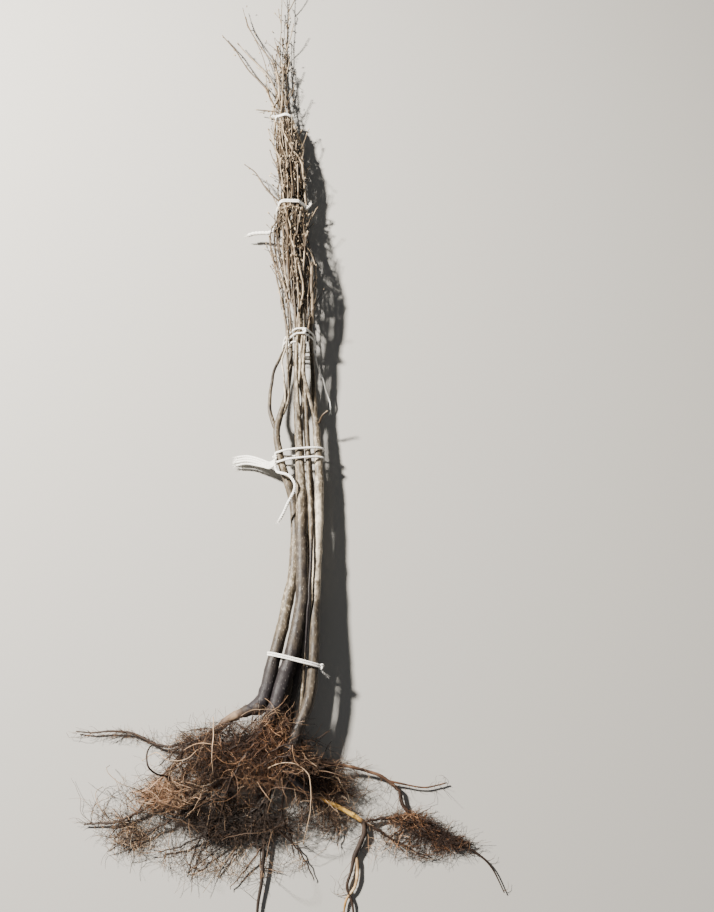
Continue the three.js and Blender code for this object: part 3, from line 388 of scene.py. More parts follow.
# Coarse roots that carry the fine ones outwards: diameter at the start and end, then x, y, z
GUIDE_ROOTS = [
    (4.2, 1.6, [[-98, -730, 18], [-120, -750, 15], [-185, -788, 6], [-214, -806, 4]]),
    (4.0, 1.4, [[-58, -694, 36], [-84, -730, 30], [-100, -768, 16], [-118, -804, 6], [-126, -838, 4]]),
    (4.2, 1.4, [[-23, -742, 18], [-52, -764, 15], [-130, -798, 7], [-168, -810, 4]]),
    (3.4, 1.2, [[-26, -765, 12], [-58, -784, 9], [-128, -834, 4]]),
    (3.4, 1.2, [[-26, -772, 12], [0, -790, 9], [24, -812, 6], [40, -842, 3]]),
    (3.0, 1.0, [[-27, -800, 8], [-70, -852, 3]]),
    (4.2, 1.4, [[-148, -692, 15], [-166, -712, 15], [-182, -738, 13], [-206, -765, 8], [-232, -786, 5]]),
    (4.6, 1.6, [[-40, -674, 40], [-80, -682, 44], [-116, -692, 38], [-150, -706, 26], [-186, -726, 12]]),
    (4.2, 1.6, [[-38, -672, 42], [-60, -700, 48], [-76, -734, 38], [-86, -766, 20], [-92, -796, 8]]),
    (3.8, 1.4, [[9, -706, 42], [2, -728, 36], [-4, -756, 22], [6, -786, 9], [14, -812, 5]]),
    (3.6, 1.2, [[-164, -715, 13], [-142, -742, 20], [-92, -790, 8]]),
    (4.0, 1.4, [[-100, -660, 28], [-126, -672, 34], [-150, -682, 26], [-176, -704, 14]]),
    (3.4, 1.2, [[104, -772, 7], [162, -802, 5], [198, -816, 4]]),
    (3.0, 1.0, [[62, -752, 10], [74, -776, 7], [70, -802, 4]]),
    (3.2, 1.2, [[106, -773, 7], [140, -768, 8], [176, -776, 8], [206, -790, 7], [232, -806, 5]]),
    (2.0, 0.8, [[-62, -664, 44], [-23, -630, 66], [-10, -620, 66]]),
    (2.0, 0.8, [[-52, -672, 46], [-23, -646, 64], [-12, -638, 66], [0, -634, 60]]),
    (2.2, 0.8, [[-44, -684, 46], [-22, -665, 58], [-10, -656, 62], [1, -650, 58], [14, -654, 50]]),
    (2.2, 0.9, [[-30, -694, 48], [-16, -684, 58], [4, -676, 62], [20, -680, 60], [52, -701, 30]]),
    (2.2, 0.9, [[-26, -702, 50], [-8, -692, 58], [12, -690, 60], [30, -699, 48], [47, -711, 30],
        [64, -721, 18]]),
    (2.2, 0.9, [[-16, -714, 46], [2, -706, 54], [18, -708, 50], [40, -720, 30], [66, -734, 12]]),
    (2.2, 0.8, [[-48, -660, 50], [-69, -650, 46], [-84, -652, 42], [-114, -667, 32], [-128, -678, 26]]),
    (2.0, 0.8, [[-40, -690, 46], [-20, -673, 56], [-12, -662, 60], [-7, -648, 60]]),
]

# Foot of the low left bough, inside its stem at first
BOUGH_FOOT = [[-29, -216, 27, 5], [-34, -204, 28, 7], [-41, -186, 28, 7]]

# Upper limbs that fork off the stems, and a dark flare at the collar: tone, diameter at the start
# and end, then x, y, z
FORKED_LIMBS = [
    (0.6, 4.6, 3.6, [[-24, -176, 29], [-18, -158, 31], [-15, -146, 34], [-17, -117, 38], [-20, -68, 48],
        [-21, -30, 50]]),
    (0.85, 3.6, 2.8, [[-26, -180, 28], [-22, -160, 32], [-21, -140, 38], [-25, -106, 44], [-28, -85, 46],
        [-21, -60, 50], [-20, -30, 50]]),
    (0.6, 7, 4.6, [[0, -196, 32], [2, -178, 36], [0, -159, 41], [-1, -128, 47], [-3, -110, 50], [-3, -72, 54],
        [-2, -30, 52]]),
    (0.72, 4.4, 3.2, [[-3, -152, 37], [0, -134, 44], [2, -114, 50], [4, -72, 55], [5, -30, 52]]),
    (0.72, 6, 4, [[2, -186, 33], [7, -166, 35], [8, -150, 37], [5, -134, 40], [4, -121, 44], [3, -102, 47],
        [8, -40, 48]]),
    (0.66, 6.6, 4.6, [[29, -192, 28], [24, -170, 31], [10, -116, 48], [8, -98, 51], [8, -72, 53],
        [9, -30, 50]]),
    (0.04, 7, 10, [[5, -585, 30], [2.5, -603, 36], [-3, -629, 36], [-7, -647, 33], [-11, -668, 28]]),
]

# Twigs on the upper side of the crown: tone, diameter at the start and end, then x, y
UPPER_TWIGS = [
    (0.7, 3.4, 2.2, [[-20, -29], [-61, 163], [-62, 176], [-57, 190]]),
    (0.75, 2.8, 1.8, [[-23, 34], [-35, 79], [-54, 128], [-60, 151]]),
    (0.85, 4.2, 2.6, [[-2, -22], [-24, 65], [-34, 140], [-36, 240]]),
    (0.5, 6.4, 4.6, [[-20, 60], [-26, 138], [-25, 159], [-29, 186], [-30, 235]]),
    (0.72, 2.4, 1.6, [[-20, 150], [-34, 188], [-37, 215]]),
    (0.95, 3.6, 2.2, [[0, -32], [0, 4], [4, 53], [-14, 133], [-20, 150], [-23, 185], [-34, 226]]),
    (0.74, 4, 2.8, [[-4, -28], [-2, 23], [-13, 126], [-14, 160]]),
    (0.9, 2.8, 1.8, [[22, 10], [25, 64], [23, 108], [14, 133], [7, 140]]),
    (0.9, 2.6, 1.5, [[4, 96], [4, 189], [10, 221], [24, 253]]),
    (0.8, 1.8, 1.2, [[1, 212], [-13, 188], [-18, 184]]),
    (0.78, 6, 5, [[20, 8], [17, 96]]),
    (0.5, 2.6, 1.8, [[5, 131], [-2, 224]]),
    (0.6, 2, 1.3, [[-40, 92], [-42, 109], [-51, 130], [-58, 157], [-62, 193]]),
    (0.6, 2.6, 1.8, [[-23, 42], [-16, 87], [-17, 120], [-22, 160]]),
    (0.45, 3.2, 2.2, [[14, -30], [23, 68]]),
    (0.7, 3.4, 2, [[-14, -31], [-19, 16], [-35, 72], [-55, 119]]),
    (0.5, 3, 2, [[-7, -33], [-8, 14], [-12, 39], [-11, 62], [-16, 87]]),
    (1.0, 2.8, 3.6, [[-51, 462], [-47, 431], [-32, 388], [-23, 370], [-13, 357], [-7, 340]]),
    (1.0, 4.6, 3.2, [[2, 250], [-7, 343], [-8, 399], [-13, 418], [-24, 440], [-30, 476]]),
    (0.8, 2.4, 2, [[-35, 323], [-36, 348], [-49, 392], [-53, 419], [-55, 464]]),
    (0.85, 3.2, 2.4, [[-35, 233], [-46, 310], [-48, 354]]),
    (0.85, 2.8, 3, [[-46, 317], [-52, 363], [-66, 410], [-66, 461], [-69, 486]]),
    (0.6, 2.4, 2, [[-27, 380], [-39, 466]]),
    (0.6, 2.4, 1.8, [[-11, 238], [-13, 305], [-20, 341], [-31, 369]]),
    (0.65, 2.6, 1.8, [[-26, 236], [-23, 273], [-27, 327], [-30, 347]]),
    (0.7, 2.4, 1.8, [[-29, 234], [-34, 318], [-37, 336]]),
    (0.5, 2.6, 2, [[-43, 240], [-52, 289], [-50, 311], [-60, 392]]),
    (0.8, 2.6, 1.2, [[-44, 228], [-59, 272], [-69, 292], [-92, 322]]),
    (1.0, 4.6, 1.6, [[-67, 466], [-71, 511], [-90, 565], [-97, 580]]),
    (0.95, 3.0, 1.3, [[-69, 516], [-86, 565], [-94, 609], [-114, 632]]),
    (1.0, 4.4, 1.8, [[-71, 515], [-62, 526], [-62, 566], [-74, 638], [-73, 665]]),
    (0.7, 2.2, 1.2, [[-61, 538], [-74, 577], [-92, 606]]),
    (0.45, 1.8, 1, [[-90, 617], [-101, 662], [-123, 723], [-138, 755], [-153, 817]]),
    (0.6, 1.8, 0.9, [[-54, 610], [-43, 623], [-30, 612]]),
    (0.55, 1.6, 0.8, [[-55, 612], [-45, 596], [-31, 586]]),
    (0.8, 2, 1, [[-70, 505], [-82, 505], [-100, 500]]),
    (0.5, 1.6, 0.9, [[-63, 646], [-69, 669], [-88, 699], [-97, 708]]),
    (0.5, 1.5, 0.8, [[-67, 667], [-80, 720]]),
    (0.6, 1.6, 0.8, [[-53, 800], [-65, 834]]),
    (0.85, 3.4, 2.2, [[-54, 470], [-54, 580], [-61, 639]]),
]


# Shared with the source: seeded numbers, smooth curves, lanes and clearances

def seeded(seed):
    """Return a function that gives the source's seeded numbers from 0 to 1."""
    state = seed & 0xFFFFFFFF

    def number():
        nonlocal state
        state = (state + 0x6D2B79F5) & 0xFFFFFFFF
        mixed = ((state ^ (state >> 15)) * (state | 1)) & 0xFFFFFFFF
        turned = ((mixed ^ (mixed >> 7)) * (mixed | 61)) & 0xFFFFFFFF
        mixed ^= (mixed + turned) & 0xFFFFFFFF
        return (mixed ^ (mixed >> 14)) / 4294967296

    return number


def mix(a, b, t):
    return a + (b - a) * t


def between(low_high, share):
    return mix(*low_high, share)


def smooth(t):
    return t * t * (3 - 2 * t)


def clamp01(t):
    return min(1.0, max(0.0, t))


def curve_through(rows, step):
    """Smooth curve through rows of numbers, whose first three are a place."""
    rows = np.asarray(rows, dtype=float)
    out = []
    last = len(rows) - 1
    for i in range(last):
        before = rows[max(0, i - 1)]
        here = rows[i]
        there = rows[i + 1]
        after = rows[min(last, i + 2)]
        span = np.linalg.norm((there - here)[:3])
        parts = max(1, math.floor(span / step + 0.5))
        t = (np.arange(parts) / parts)[:, None]
        out.append(0.5 * (2 * here + (there - before) * t
                          + (2 * before - 5 * here + 4 * there - after) * t * t
                          + (3 * here - before - 3 * there + after) * t * t * t))
    out.append(rows[-1:])
    return np.concatenate(out)


def key_before(keys, y):
    """Number of the last key that y is past, at most the last but one."""
    i = 0
    while i < len(keys) - 2 and y > keys[i + 1][0]:
        i += 1
    return i


def bundle_at(y):
    """The bundle's outline at y: y, centre x, centre z, half width, half height."""
    i = key_before(BUNDLE, y)
    low, high = BUNDLE[i], BUNDLE[i + 1]
    t = clamp01((y - low[0]) / (high[0] - low[0]))
    s = smooth(t) * 0.5 + t * 0.5
    return [mix(a, b, s) for a, b in zip(low, high)]


def lane_point(y, u, v, radius):
    """A point of a lane, drawn in by the strand's radius."""
    outline = bundle_at(y)
    return [outline[1] + u * (outline[3] - radius), y, outline[2] + v * (outline[4] - radius)]


def upper_side(x, y):
    """Height of the bundle's upper side at x, y, drawn in a little under the ties."""
    outline = bundle_at(y)
    across = (x - outline[1]) / outline[3]
    pinch = 1 - sum(TIE_PINCH * math.exp(-((y - at) / PINCH_REACH) ** 2) for at in TIE_ROWS)
    return outline[2] + outline[4] * math.sqrt(max(0, 1 - across * across)) * pinch


class Placed:
    """Straight pieces placed so far, each with its node and radius."""

    def __init__(self, room=60000):
        self.count = 0
        self.a = np.zeros((room, 3))
        self.b = np.zeros((room, 3))
        self.radius = np.zeros(room)
        self.node = np.zeros(room, dtype=int)
        self.names = {}

    def number(self, node):
        return self.names.setdefault(node, len(self.names))

    def add(self, node, rows):
        rows = np.asarray(rows, dtype=float)
        n = len(rows) - 1
        span = slice(self.count, self.count + n)
        self.a[span] = rows[:-1, :3]
        self.b[span] = rows[1:, :3]
        self.radius[span] = np.maximum(rows[:-1, 3], rows[1:, 3]) / 2
        self.node[span] = self.number(node)
        self.count += n

    def distances(self, p, q, pick):
        """Shortest distances between the piece p to q and the picked pieces."""
        d1 = q - p
        d2 = self.b[pick] - self.a[pick]
        r = p - self.a[pick]
        a = float(d1 @ d1)
        e = np.einsum("ij,ij->i", d2, d2)
        f = np.einsum("ij,ij->i", d2, r)
        c = r @ d1
        b = d2 @ d1
        denom = a * e - b * b
        s = np.where(denom > 1e-9, np.clip((b * f - c * e) / np.where(denom > 1e-9, denom, 1), 0, 1), 0)
        t = (b * s + f) / e
        s = np.where(t < 0, np.clip(-c / a, 0, 1), np.where(t > 1, np.clip((b - c) / a, 0, 1), s))
        t = np.clip(t, 0, 1)
        gap = r + d1 * s[:, None] - d2 * t[:, None]
        return np.sqrt(np.einsum("ij,ij->i", gap, gap))

    def is_clear(self, rows, node, parent, near_pieces, gap=FREE_GAP):
        """True when the rows keep clear, apart from the parent near their start."""
        rows = np.asarray(rows, dtype=float)
        n = self.count
        own = self.number(node)
        mother = self.number(parent)
        low_y = np.minimum(self.a[:n, 1], self.b[:n, 1])
        high_y = np.maximum(self.a[:n, 1], self.b[:n, 1])
        for i in range(len(rows) - 1):
            radius = max(rows[i, 3], rows[i + 1, 3]) / 2
            low = min(rows[i, 1], rows[i + 1, 1]) - NEAR_REACH
            high = max(rows[i, 1], rows[i + 1, 1]) + NEAR_REACH
            pick = np.nonzero((high_y >= low) & (low_y <= high))[0]
            near = (self.node[pick] == mother) & (i < near_pieces)
            if mother == own:
                pick = pick[~near]
                near = np.zeros(len(pick), dtype=bool)
            if not len(pick):
                continue
            need = radius + self.radius[pick] + np.where(near, SEAT_GAP * 0.6, gap)
            if np.any(self.distances(rows[i, :3], rows[i + 1, :3], pick) < need):
                return False
        return True


def seated_on(parent, at, rows):
    """Rows that start squarely on a parent's cut, tip or side, a seat gap away."""
    parent = np.asarray(parent, dtype=float)
    rows = np.asarray(rows, dtype=float)
    foot = parent[0, :3]
    way = parent[0, :3] - parent[1, :3]
    stand = SEAT_GAP
    if at == "tip":
        foot = parent[-1, :3]
        way = parent[-1, :3] - parent[-2, :3]
    if at == "side":
        best = math.inf
        for i in range(len(parent) - 1):
            run = parent[i + 1, :3] - parent[i, :3]
            off = rows[0, :3] - parent[i, :3]
            t = clamp01(float(run @ off) / float(run @ run))
            near = parent[i, :3] + run * t
            far = float(np.linalg.norm(rows[0, :3] - near))
            if far >= best:
                continue
            best = far
            foot = near
            way = rows[0, :3] - near
            stand = mix(parent[i, 3], parent[i + 1, 3], t) / 2 + SEAT_GAP
    way = way / np.linalg.norm(way)
    run = max(SEAT_RUN, rows[0, 3] * SEAT_RUN_SHARE)
    first = np.append(foot + way * stand, rows[0, 3])
    second = np.append(foot + way * (stand + run), rows[0, 3])
    return np.vstack([first, second, rows[1:]])


def row_at(rows, y):
    """Place and diameter at y of a path that runs along the bundle."""
    for low, high in zip(rows, rows[1:]):
        if low[1] <= y <= high[1]:
            t = (y - low[1]) / (high[1] - low[1])
            return [mix(a, b, t) for a, b in zip(low, high)]
    return None


# The whole bundle's limbs, grown by the source's rule and then carried on

class Bundle:
    """Rows of every stem, strand, twig, ring and woody root, in millimetres."""

    def __init__(self, sizes):
        self.sizes = sizes
        self.placed = Placed()
        self.stems = {}
        self.strands = []
        self.twigs = []
        self.fine_strands = []
        self.grow_stems()
        self.grow_leaders()
        self.grow_side_masses()
        self.grow_sprays()
        self.grow_twigs()
        self.rings = {node: self.rings_of(node) for node in TIES}
        self.grow_roots()
        self.grow_finer()

    def grow_stems(self):
        for node, drawn in STEMS.items():
            tip, diameter, lane = STEM_ENDS[node]
            rows = [list(row) for row in drawn]
            _, from_y, _, from_thick = drawn[-1]
            for y in range(LANES_START, tip, LANES_STEP):
                thick = mix(from_thick, diameter, (y - from_y) / (tip - from_y))
                rows.append(lane_point(y, *lane, thick / 2) + [thick])
            rows.append(lane_point(tip, *lane, diameter / 2) + [diameter])
            curve = curve_through(rows, STEM_STEP)
            if node == "bough_left":
                curve = seated_on(self.stems["stem_left"], "side", curve)
            self.stems[node] = curve
            self.placed.add(node, curve)

    def keep_strand(self, node, rows):
        rows = np.asarray(rows, dtype=float)
        self.strands.append((node, rows))
        self.placed.add(node, rows)

    def grow_leaders(self):
        for node, stem, thick, tip, keys in LEADERS:
            first = keys[0][0]
            last = keys[-1][0]
            parts = math.floor((last - first) / STRAND_STEP + 0.5)
            rows = []
            for i in range(parts + 1):
                y = first + (last - first) * i / parts
                k = key_before(keys, y)
                low, high = keys[k], keys[k + 1]
                t = smooth(clamp01((y - low[0]) / (high[0] - low[0])))
                diameter = thick + (tip - thick) * i / parts
                u, v = mix(low[1], high[1], t), mix(low[2], high[2], t)
                rows.append(lane_point(y, u, v, diameter / 2) + [diameter])
            self.keep_strand(node, seated_on(self.stems[stem], "tip", rows))

    def grow_strand(self, node, parent_node, parent, start, random):
        """One strand that leaves its parent and moves over to a lane of its own."""
        fused = parent_node == node
        foot = row_at(parent, start)
        if foot is None:
            return None
        for _ in range(STRAND_TRIES):
            turn = 2 * math.pi * random()
            out = math.sqrt(random()) * STRAND_LANES
            u = math.cos(turn) * out
            v = math.sin(turn) * out
            diameter = between(STRAND_DIAMETER, random())
            end = min(STRAND_TOP, start + between(STRAND_REACH, random()))
            shift = between(STRAND_SHIFT, random())
            phase = 2 * math.pi * random()
            parts = max(3, math.floor((end - start) / STRAND_STEP + 0.5))
            goal = lane_point(start + shift, u, v, diameter / 2)
            side = (goal[0] - foot[0], goal[2] - foot[2])
            width = math.hypot(*side)
            stand = 0 if fused else foot[3] / 2 + diameter / 2 + SEAT_GAP
            near = (foot[0] + side[0] / width * stand, foot[2] + side[1] / width * stand)
            rows = []
            for i in range(parts + 1):
                along = 0 if i == 0 else (i - 0.4) / (parts - 0.4)
                y = start + (end - start) * along
                wave = STRAND_WOBBLE * math.sin(phase + y / STRAND_WAVE)
                thick = mix(diameter, STRAND_TIP, i / parts)
                lane = lane_point(y, u + wave, v - wave, thick / 2)
                share = smooth(clamp01((y - start) / shift))
                rows.append([mix(near[0], lane[0], share), y, mix(near[1], lane[2], share), thick])
            if fused:
                rows[0][3] = min(diameter, foot[3] * 0.8)
            if self.placed.is_clear(rows, node, parent_node, 2):
                return rows
        return None

    def grow_side_masses(self):
        random = seeded(SIDE_SEED)
        for node, stem, start, strands in SIDE_MASSES:
            tries = (start + n * START_STEP for n in range(STRAND_STARTS))
            first = self.first_grown(node, stem, self.stems[stem], tries, random)
            if first is None:
                continue
            own = [first]
            for _ in range(1, strands):
                parent = own[math.floor(random() * len(own))]
                low = parent[0][1] + START_MARGIN
                high = parent[0][1] + (parent[-1][1] - parent[0][1]) * START_SHARE
                tries = (low + (high - low) * random() for _ in range(STRAND_STARTS))
                grown = self.first_grown(node, node, parent, tries, random)
                if grown is not None:
                    own.append(grown)

    def first_grown(self, node, parent_node, parent, tries, random):
        """The first strand that finds a free lane, from the places that are tried in turn."""
        for start in tries:
            rows = self.grow_strand(node, parent_node, parent, start, random)
            if rows is not None:
                self.keep_strand(node, rows)
                return rows
        return None

    def grow_sprays(self):
        node = "crown_left"
        strand = next(rows for name, rows in self.strands if name == node)
        for points, join in SPRAYS:
            foot = row_at(strand, join)
            foot[3] = min(foot[3] * 0.8, points[0][3])
            rows = curve_through([foot] + points, TWIG_STEP)
            if self.placed.is_clear(rows, node, node, ALL_PIECES):
                self.placed.add(node, rows)
                self.twigs.append((node, rows))

    def grow_twigs(self):
        random = seeded(TWIG_SEED)
        for node, rows in self.strands:
            y = rows[0][1] + START_MARGIN + TWIG_SPACING * random()
            while y < rows[-1][1] - TWIG_TIP_MARGIN:
                foot = row_at(rows, y)
                for _ in range(TWIG_TRIES):
                    twig = self.side_twig(foot, y, random)
                    top = twig[-1][1]
                    crosses = any(top > at - TIE_KEEP_OUT and y < at + TIE_KEEP_OUT for at in TIE_ROWS)
                    if crosses or top > TWIG_TOP:
                        continue
                    if self.placed.is_clear(twig, node, node, ALL_PIECES):
                        self.placed.add(node, twig)
                        self.twigs.append((node, np.array(twig)))
                        break
                y += TWIG_SPACING * (0.6 + 0.8 * random())
        low_twig = seated_on(self.stems["stem_right"], "side", LOW_TWIG)
        self.placed.add("twig_low", low_twig)
        self.twigs.append(("twig_low", low_twig))

    def side_twig(self, foot, y, random):
        """A short twig that leans away from the middle of the bundle."""
        outline = bundle_at(y)
        away = math.atan2(foot[2] - outline[2], foot[0] - outline[1]) + 1.6 * (random() - 0.5)
        lean = 0.2 + 0.35 * random()
        length = between(TWIG_LENGTH, random() ** 1.6)
        twig = []
        for k in range(4):
            t = k / 3
            out = length * math.sin(lean) * (t - 0.3 * t * t)
            thick = between(TWIG_DIAMETER, t)
            twig.append([foot[0] + math.cos(away) * out, y + length * math.cos(lean) * t,
                         max(thick / 2, foot[2] + math.sin(away) * out), min(thick, foot[3] * 0.7)])
        return twig

    def ring_round(self, y0, slope, out):
        """Straight runs pulled round everything that crosses the line y0 + slope * x."""
        n = self.placed.count
        a = self.placed.a[:n]
        b = self.placed.b[:n]
        at = a[:, 1] - y0 - slope * a[:, 0]
        to = b[:, 1] - y0 - slope * b[:, 0]
        keep = ~(((at > TIE_REACH) & (to > TIE_REACH)) | ((at < -TIE_REACH) & (to < -TIE_REACH)))
        a, b, at, to = a[keep], b[keep], at[keep], to[keep]
        span = np.where(np.abs(at - to) < 1e-9, 1e-9, at - to)
        t = np.clip(at / span, 0, 1)
        x = mix(a[:, 0], b[:, 0], t)
        z = mix(a[:, 2], b[:, 2], t)
        turn = 2 * math.pi / TIE_POINTS
        angles = turn * np.arange(TIE_POINTS)
        cos, sin = np.cos(angles), np.sin(angles)
        radius = self.placed.radius[:n][keep]
        reach = np.max(np.outer(cos, x) + np.outer(sin, z) + radius, axis=1) + out
        along = (np.roll(reach, -1) - reach * math.cos(turn)) / math.sin(turn)
        ring_x = reach * cos - along * sin
        return np.stack([ring_x, y0 + slope * ring_x, reach * sin + along * cos], axis=1)

    def rings_of(self, node):
        y, slope, offsets, _ = TIES[node]
        return [self.ring_round(y + offset, slope, TIE_RADIUS + TIE_GAP) for offset in offsets]

    def grow_roots(self):
        self.limbs = dict(self.stems)
        for node, (parent, at, points) in ROOTS.items():
            self.limbs[node] = seated_on(self.limbs[parent], at, curve_through(points, ROOT_STEP))
        self.forks = [(node, curve_through(points, ROOT_STEP)) for node, points in ROOT_FORKS]
        self.mains = [seated_on(self.limbs[parent], at, curve_through(points, FIBRE_STEP))
                      for parent, at, points in FIBRES.values()]

    def grow_finer(self):
        """Thinner strands in the gaps, and more side twigs, by the same rule."""
        random = seeded(self.sizes.seed)
        for node, rings in self.rings.items():
            for ring in rings:
                closed = np.vstack([ring, ring[:1]])
                self.placed.add(node, np.hstack([closed, np.full((len(closed), 1), TIE_CLEARANCE)]))
        parents = self.strands + [(node, self.stems[stem]) for node, stem in FINE_STEMS]
        for _ in range(self.sizes.fine_strands * FINE_TRIES):
            if len(self.fine_strands) >= self.sizes.fine_strands:
                break
            node, rows = parents[math.floor(random() * len(parents))]
            low = max(rows[0][1] + FINE_MARGINS[0], FINE_START[0])
            high = min(rows[-1][1] - FINE_MARGINS[1], FINE_START[1])
            if high <= low:
                continue
            strand = self.fine_strand(rows, low + (high - low) * random(), random)
            if self.placed.is_clear(strand[1:], "fine", "fine", 0, gap=-FINE_OVERLAP):
                self.placed.add("fine", strand[1:])
                self.fine_strands.append((node, strand))
        self.forked = [(tone, tapered(points, *ends)) for tone, *ends, points in FORKED_LIMBS]
        self.upper = [(tone, tapered(raised(points), *ends)) for tone, *ends, points in UPPER_TWIGS]
        self.fine_twigs = [tangled_twig(random) for _ in range(self.sizes.tangle)]
        for _, rows in self.strands + self.fine_strands + self.twigs + self.upper:
            self.add_spurs(rows, random)

    def fine_strand(self, parent, start, random):
        """A thin strand that drifts from one lane to another near its outer side."""
        foot = row_at(parent, start)
        near_turn = 2 * math.pi * random()
        out = math.sqrt(0.25 + 0.75 * random()) * 0.95
        far_turn = near_turn + 2.2 * (random() - 0.5)
        near = (math.cos(near_turn) * out, math.sin(near_turn) * out)
        far = (math.cos(far_turn) * out, math.sin(far_turn) * out)
        thick = min(foot[3] * 0.75, between(FINE_DIAMETER, random()))
        end = min(between(FINE_TOP, random()), start + between(FINE_REACH, random()))
        goal = lane_point(start + 60, *near, thick / 2)
        shift = between(FINE_SHIFT, random()) + 2.4 * math.hypot(goal[0] - foot[0], goal[2] - foot[2])
        phase = 2 * math.pi * random()
        parts = max(3, math.floor((end - start) / FINE_STEP))
        rows = []
        for i in range(parts + 1):
            t = i / parts
            y = start + (end - start) * t
            wave = FINE_WOBBLE * math.sin(phase + y / FINE_WAVE)
            diameter = mix(thick, FINE_TIP, t)
            u, v = mix(near[0], far[0], t) + wave, mix(near[1], far[1], t) - wave
            lane = lane_point(y, u, v, diameter / 2)
            share = smooth(clamp01((y - start) / shift))
            height = max(diameter, mix(foot[2], lane[2], share))
            rows.append([mix(foot[0], lane[0], share), y, height, diameter])
        return np.array(rows)

    def add_spurs(self, rows, random):
        """Short spurs and twiglets that stand off a strand or twig."""
        spacing = self.sizes.spur_spacing
        lengths = np.linalg.norm(np.diff(rows[:, :3], axis=0), axis=1)
        marks = np.concatenate([[0], np.cumsum(lengths)])
        at = spacing * (0.3 + random())
        while at < float(lengths.sum()) - 4:
            i = int(np.searchsorted(marks, at) - 1)
            foot = mix(rows[i], rows[i + 1], (at - marks[i]) / lengths[i])
            spur = spur_from(foot, (rows[i + 1, :3] - rows[i, :3]) / lengths[i], random)
            low, high = sorted((spur[0, 1], spur[-1, 1]))
            crosses = any(high > y - SPUR_KEEP_OUT and low < y + SPUR_KEEP_OUT for y in TIE_ROWS)
            if not crosses and spur[-1, 1] < SPUR_TOP:
                self.fine_twigs.append(spur)
            at += spacing * (0.5 + random())


def spur_from(foot, way, random):
    """A spur that leaves a strand sideways and bends along it."""
    turn = 2 * math.pi * random()
    lean = 0.35 + 0.5 * random()
    length = between(SPUR_LENGTH, random() ** 2.6)
    side = np.cross(way, [math.cos(turn), 0.2, math.sin(turn)])
    side = side / np.linalg.norm(side)
    head = way * math.cos(lean) + side * math.sin(lean)
    thick = min(foot[3] * 0.6, SPUR_DIAMETER)
    spur = [foot]
    bend = (random() - 0.5) * 0.5
    for k in range(1, SPUR_PARTS + 1):
        head = head + way * 0.06 + side * bend * 0.1
        head = head / np.linalg.norm(head)
        place = spur[-1][:3] + head * length / SPUR_PARTS
        place[2] = min(max(place[2], SPUR_TIP), TWIG_CEILING)
        spur.append(np.append(place, thick + (SPUR_TIP - thick) * k / SPUR_PARTS))
    return np.array(spur)


def tapered(points, first, last):
    """Smooth rows through points, with a diameter that falls evenly."""
    fine = curve_through(points, 12)
    return np.hstack([fine, np.linspace(first, last, len(fine))[:, None]])


def raised(points):
    """Points on the bundle's upper side, with ends that dive back between the strands."""
    places = [np.array([x, y, upper_side(x, y)]) for x, y in points]
    places.insert(0, dived(places[0], places[1]))
    x, y, _ = places[-1]
    outline = bundle_at(y)
    if y < CROWN_TOP and abs(x - outline[1]) < outline[3]:
        places.append(dived(places[-1], places[-2]))
    return places


def dived(end, before):
    """A point past an end, a little lower."""
    return end + unit((end - before)[None])[0] * 16 - [0, 0, 9]


def tangled_twig(random):
    """A thin twig that lies round the bundle between two ties."""
    ties = sorted(y for y in TIE_ROWS if y > -60)
    gap = math.floor(random() * (len(ties) - 1) * 0.999)
    low, high = ties[gap] + TANGLE_MARGIN, ties[gap + 1] - TANGLE_MARGIN
    start = low + (high - low) * random()
    length = min(between(TANGLE_LENGTH, random() ** 1.5), high - start)
    turn = math.pi * (0.5 + 0.62 * (random() + random() - 1))
    drift = 1.5 * (random() - 0.5)
    out = 0.62 + 0.4 * random()
    lift = 0.22 * (random() - 0.3)
    thick = between(TANGLE_DIAMETER, random())
    rows = []
    for t in np.arange(7) / 6:
        y = start + length * t
        outline = bundle_at(y)
        angle = turn + drift * t * t
        reach = out + lift * t * t
        rows.append([outline[1] + outline[3] * reach * math.cos(angle), y,
                     min(outline[2] + outline[4] * reach * math.sin(angle), TWIG_CEILING),
                     mix(thick, SPUR_TIP, t)])
    return np.array(rows)


@cache
def bundle():
    """The bundle's rows, grown once for all operators."""
    return Bundle(bpy.context.scene.sapling_sizes)


# Fine roots: walks that branch off one another inside the spaces of the masses

SPACE_NODES, SPACE_MIDDLES, SPACE_HALVES, SPACE_SHARES = map(np.array, zip(*ROOT_SPACES))

# Lowest middle of a root, how far walks stray from their space with the chances, and their turns
ROOT_FLOOR = 0.6
LEASHES = ([0.9, 1.1, 1.6], [0.72, 0.2, 0.08])
CURL_AXES = (0.6, 0.6, 1.4)
MOST_TRIANGLES = 150000


def nearest_space(points):
    """Number of the space each point is deepest in, and how far out of it the point is."""
    depth = np.stack([np.linalg.norm((points - middle) / half, axis=1)
                      for middle, half in zip(SPACE_MIDDLES, SPACE_HALVES)])
    return np.argmin(depth, axis=0), np.min(depth, axis=0)


def turned(ways, axes, angles):
    """Directions turned about axes by angles."""
    cos = np.cos(angles)[:, None]
    sin = np.sin(angles)[:, None]
    along = np.einsum("ij,ij->i", axes, ways)[:, None]
    return ways * cos + np.cross(axes, ways) * sin + axes * along * (1 - cos)


def unit(rows):
    return rows / np.maximum(np.linalg.norm(rows, axis=1, keepdims=True), 1e-9)


def height_over(points):
    """Top of the spaces over points."""
    tops = np.zeros(len(points))
    for middle, half in zip(SPACE_MIDDLES, SPACE_HALVES):
        away = np.sum(((points[:, :2] - middle[:2]) / half[:2]) ** 2, axis=1)
        tops = np.maximum(tops, middle[2] + half[2] * np.sqrt(np.clip(1 - away, 0, 1)) * (away < 1))
    return tops


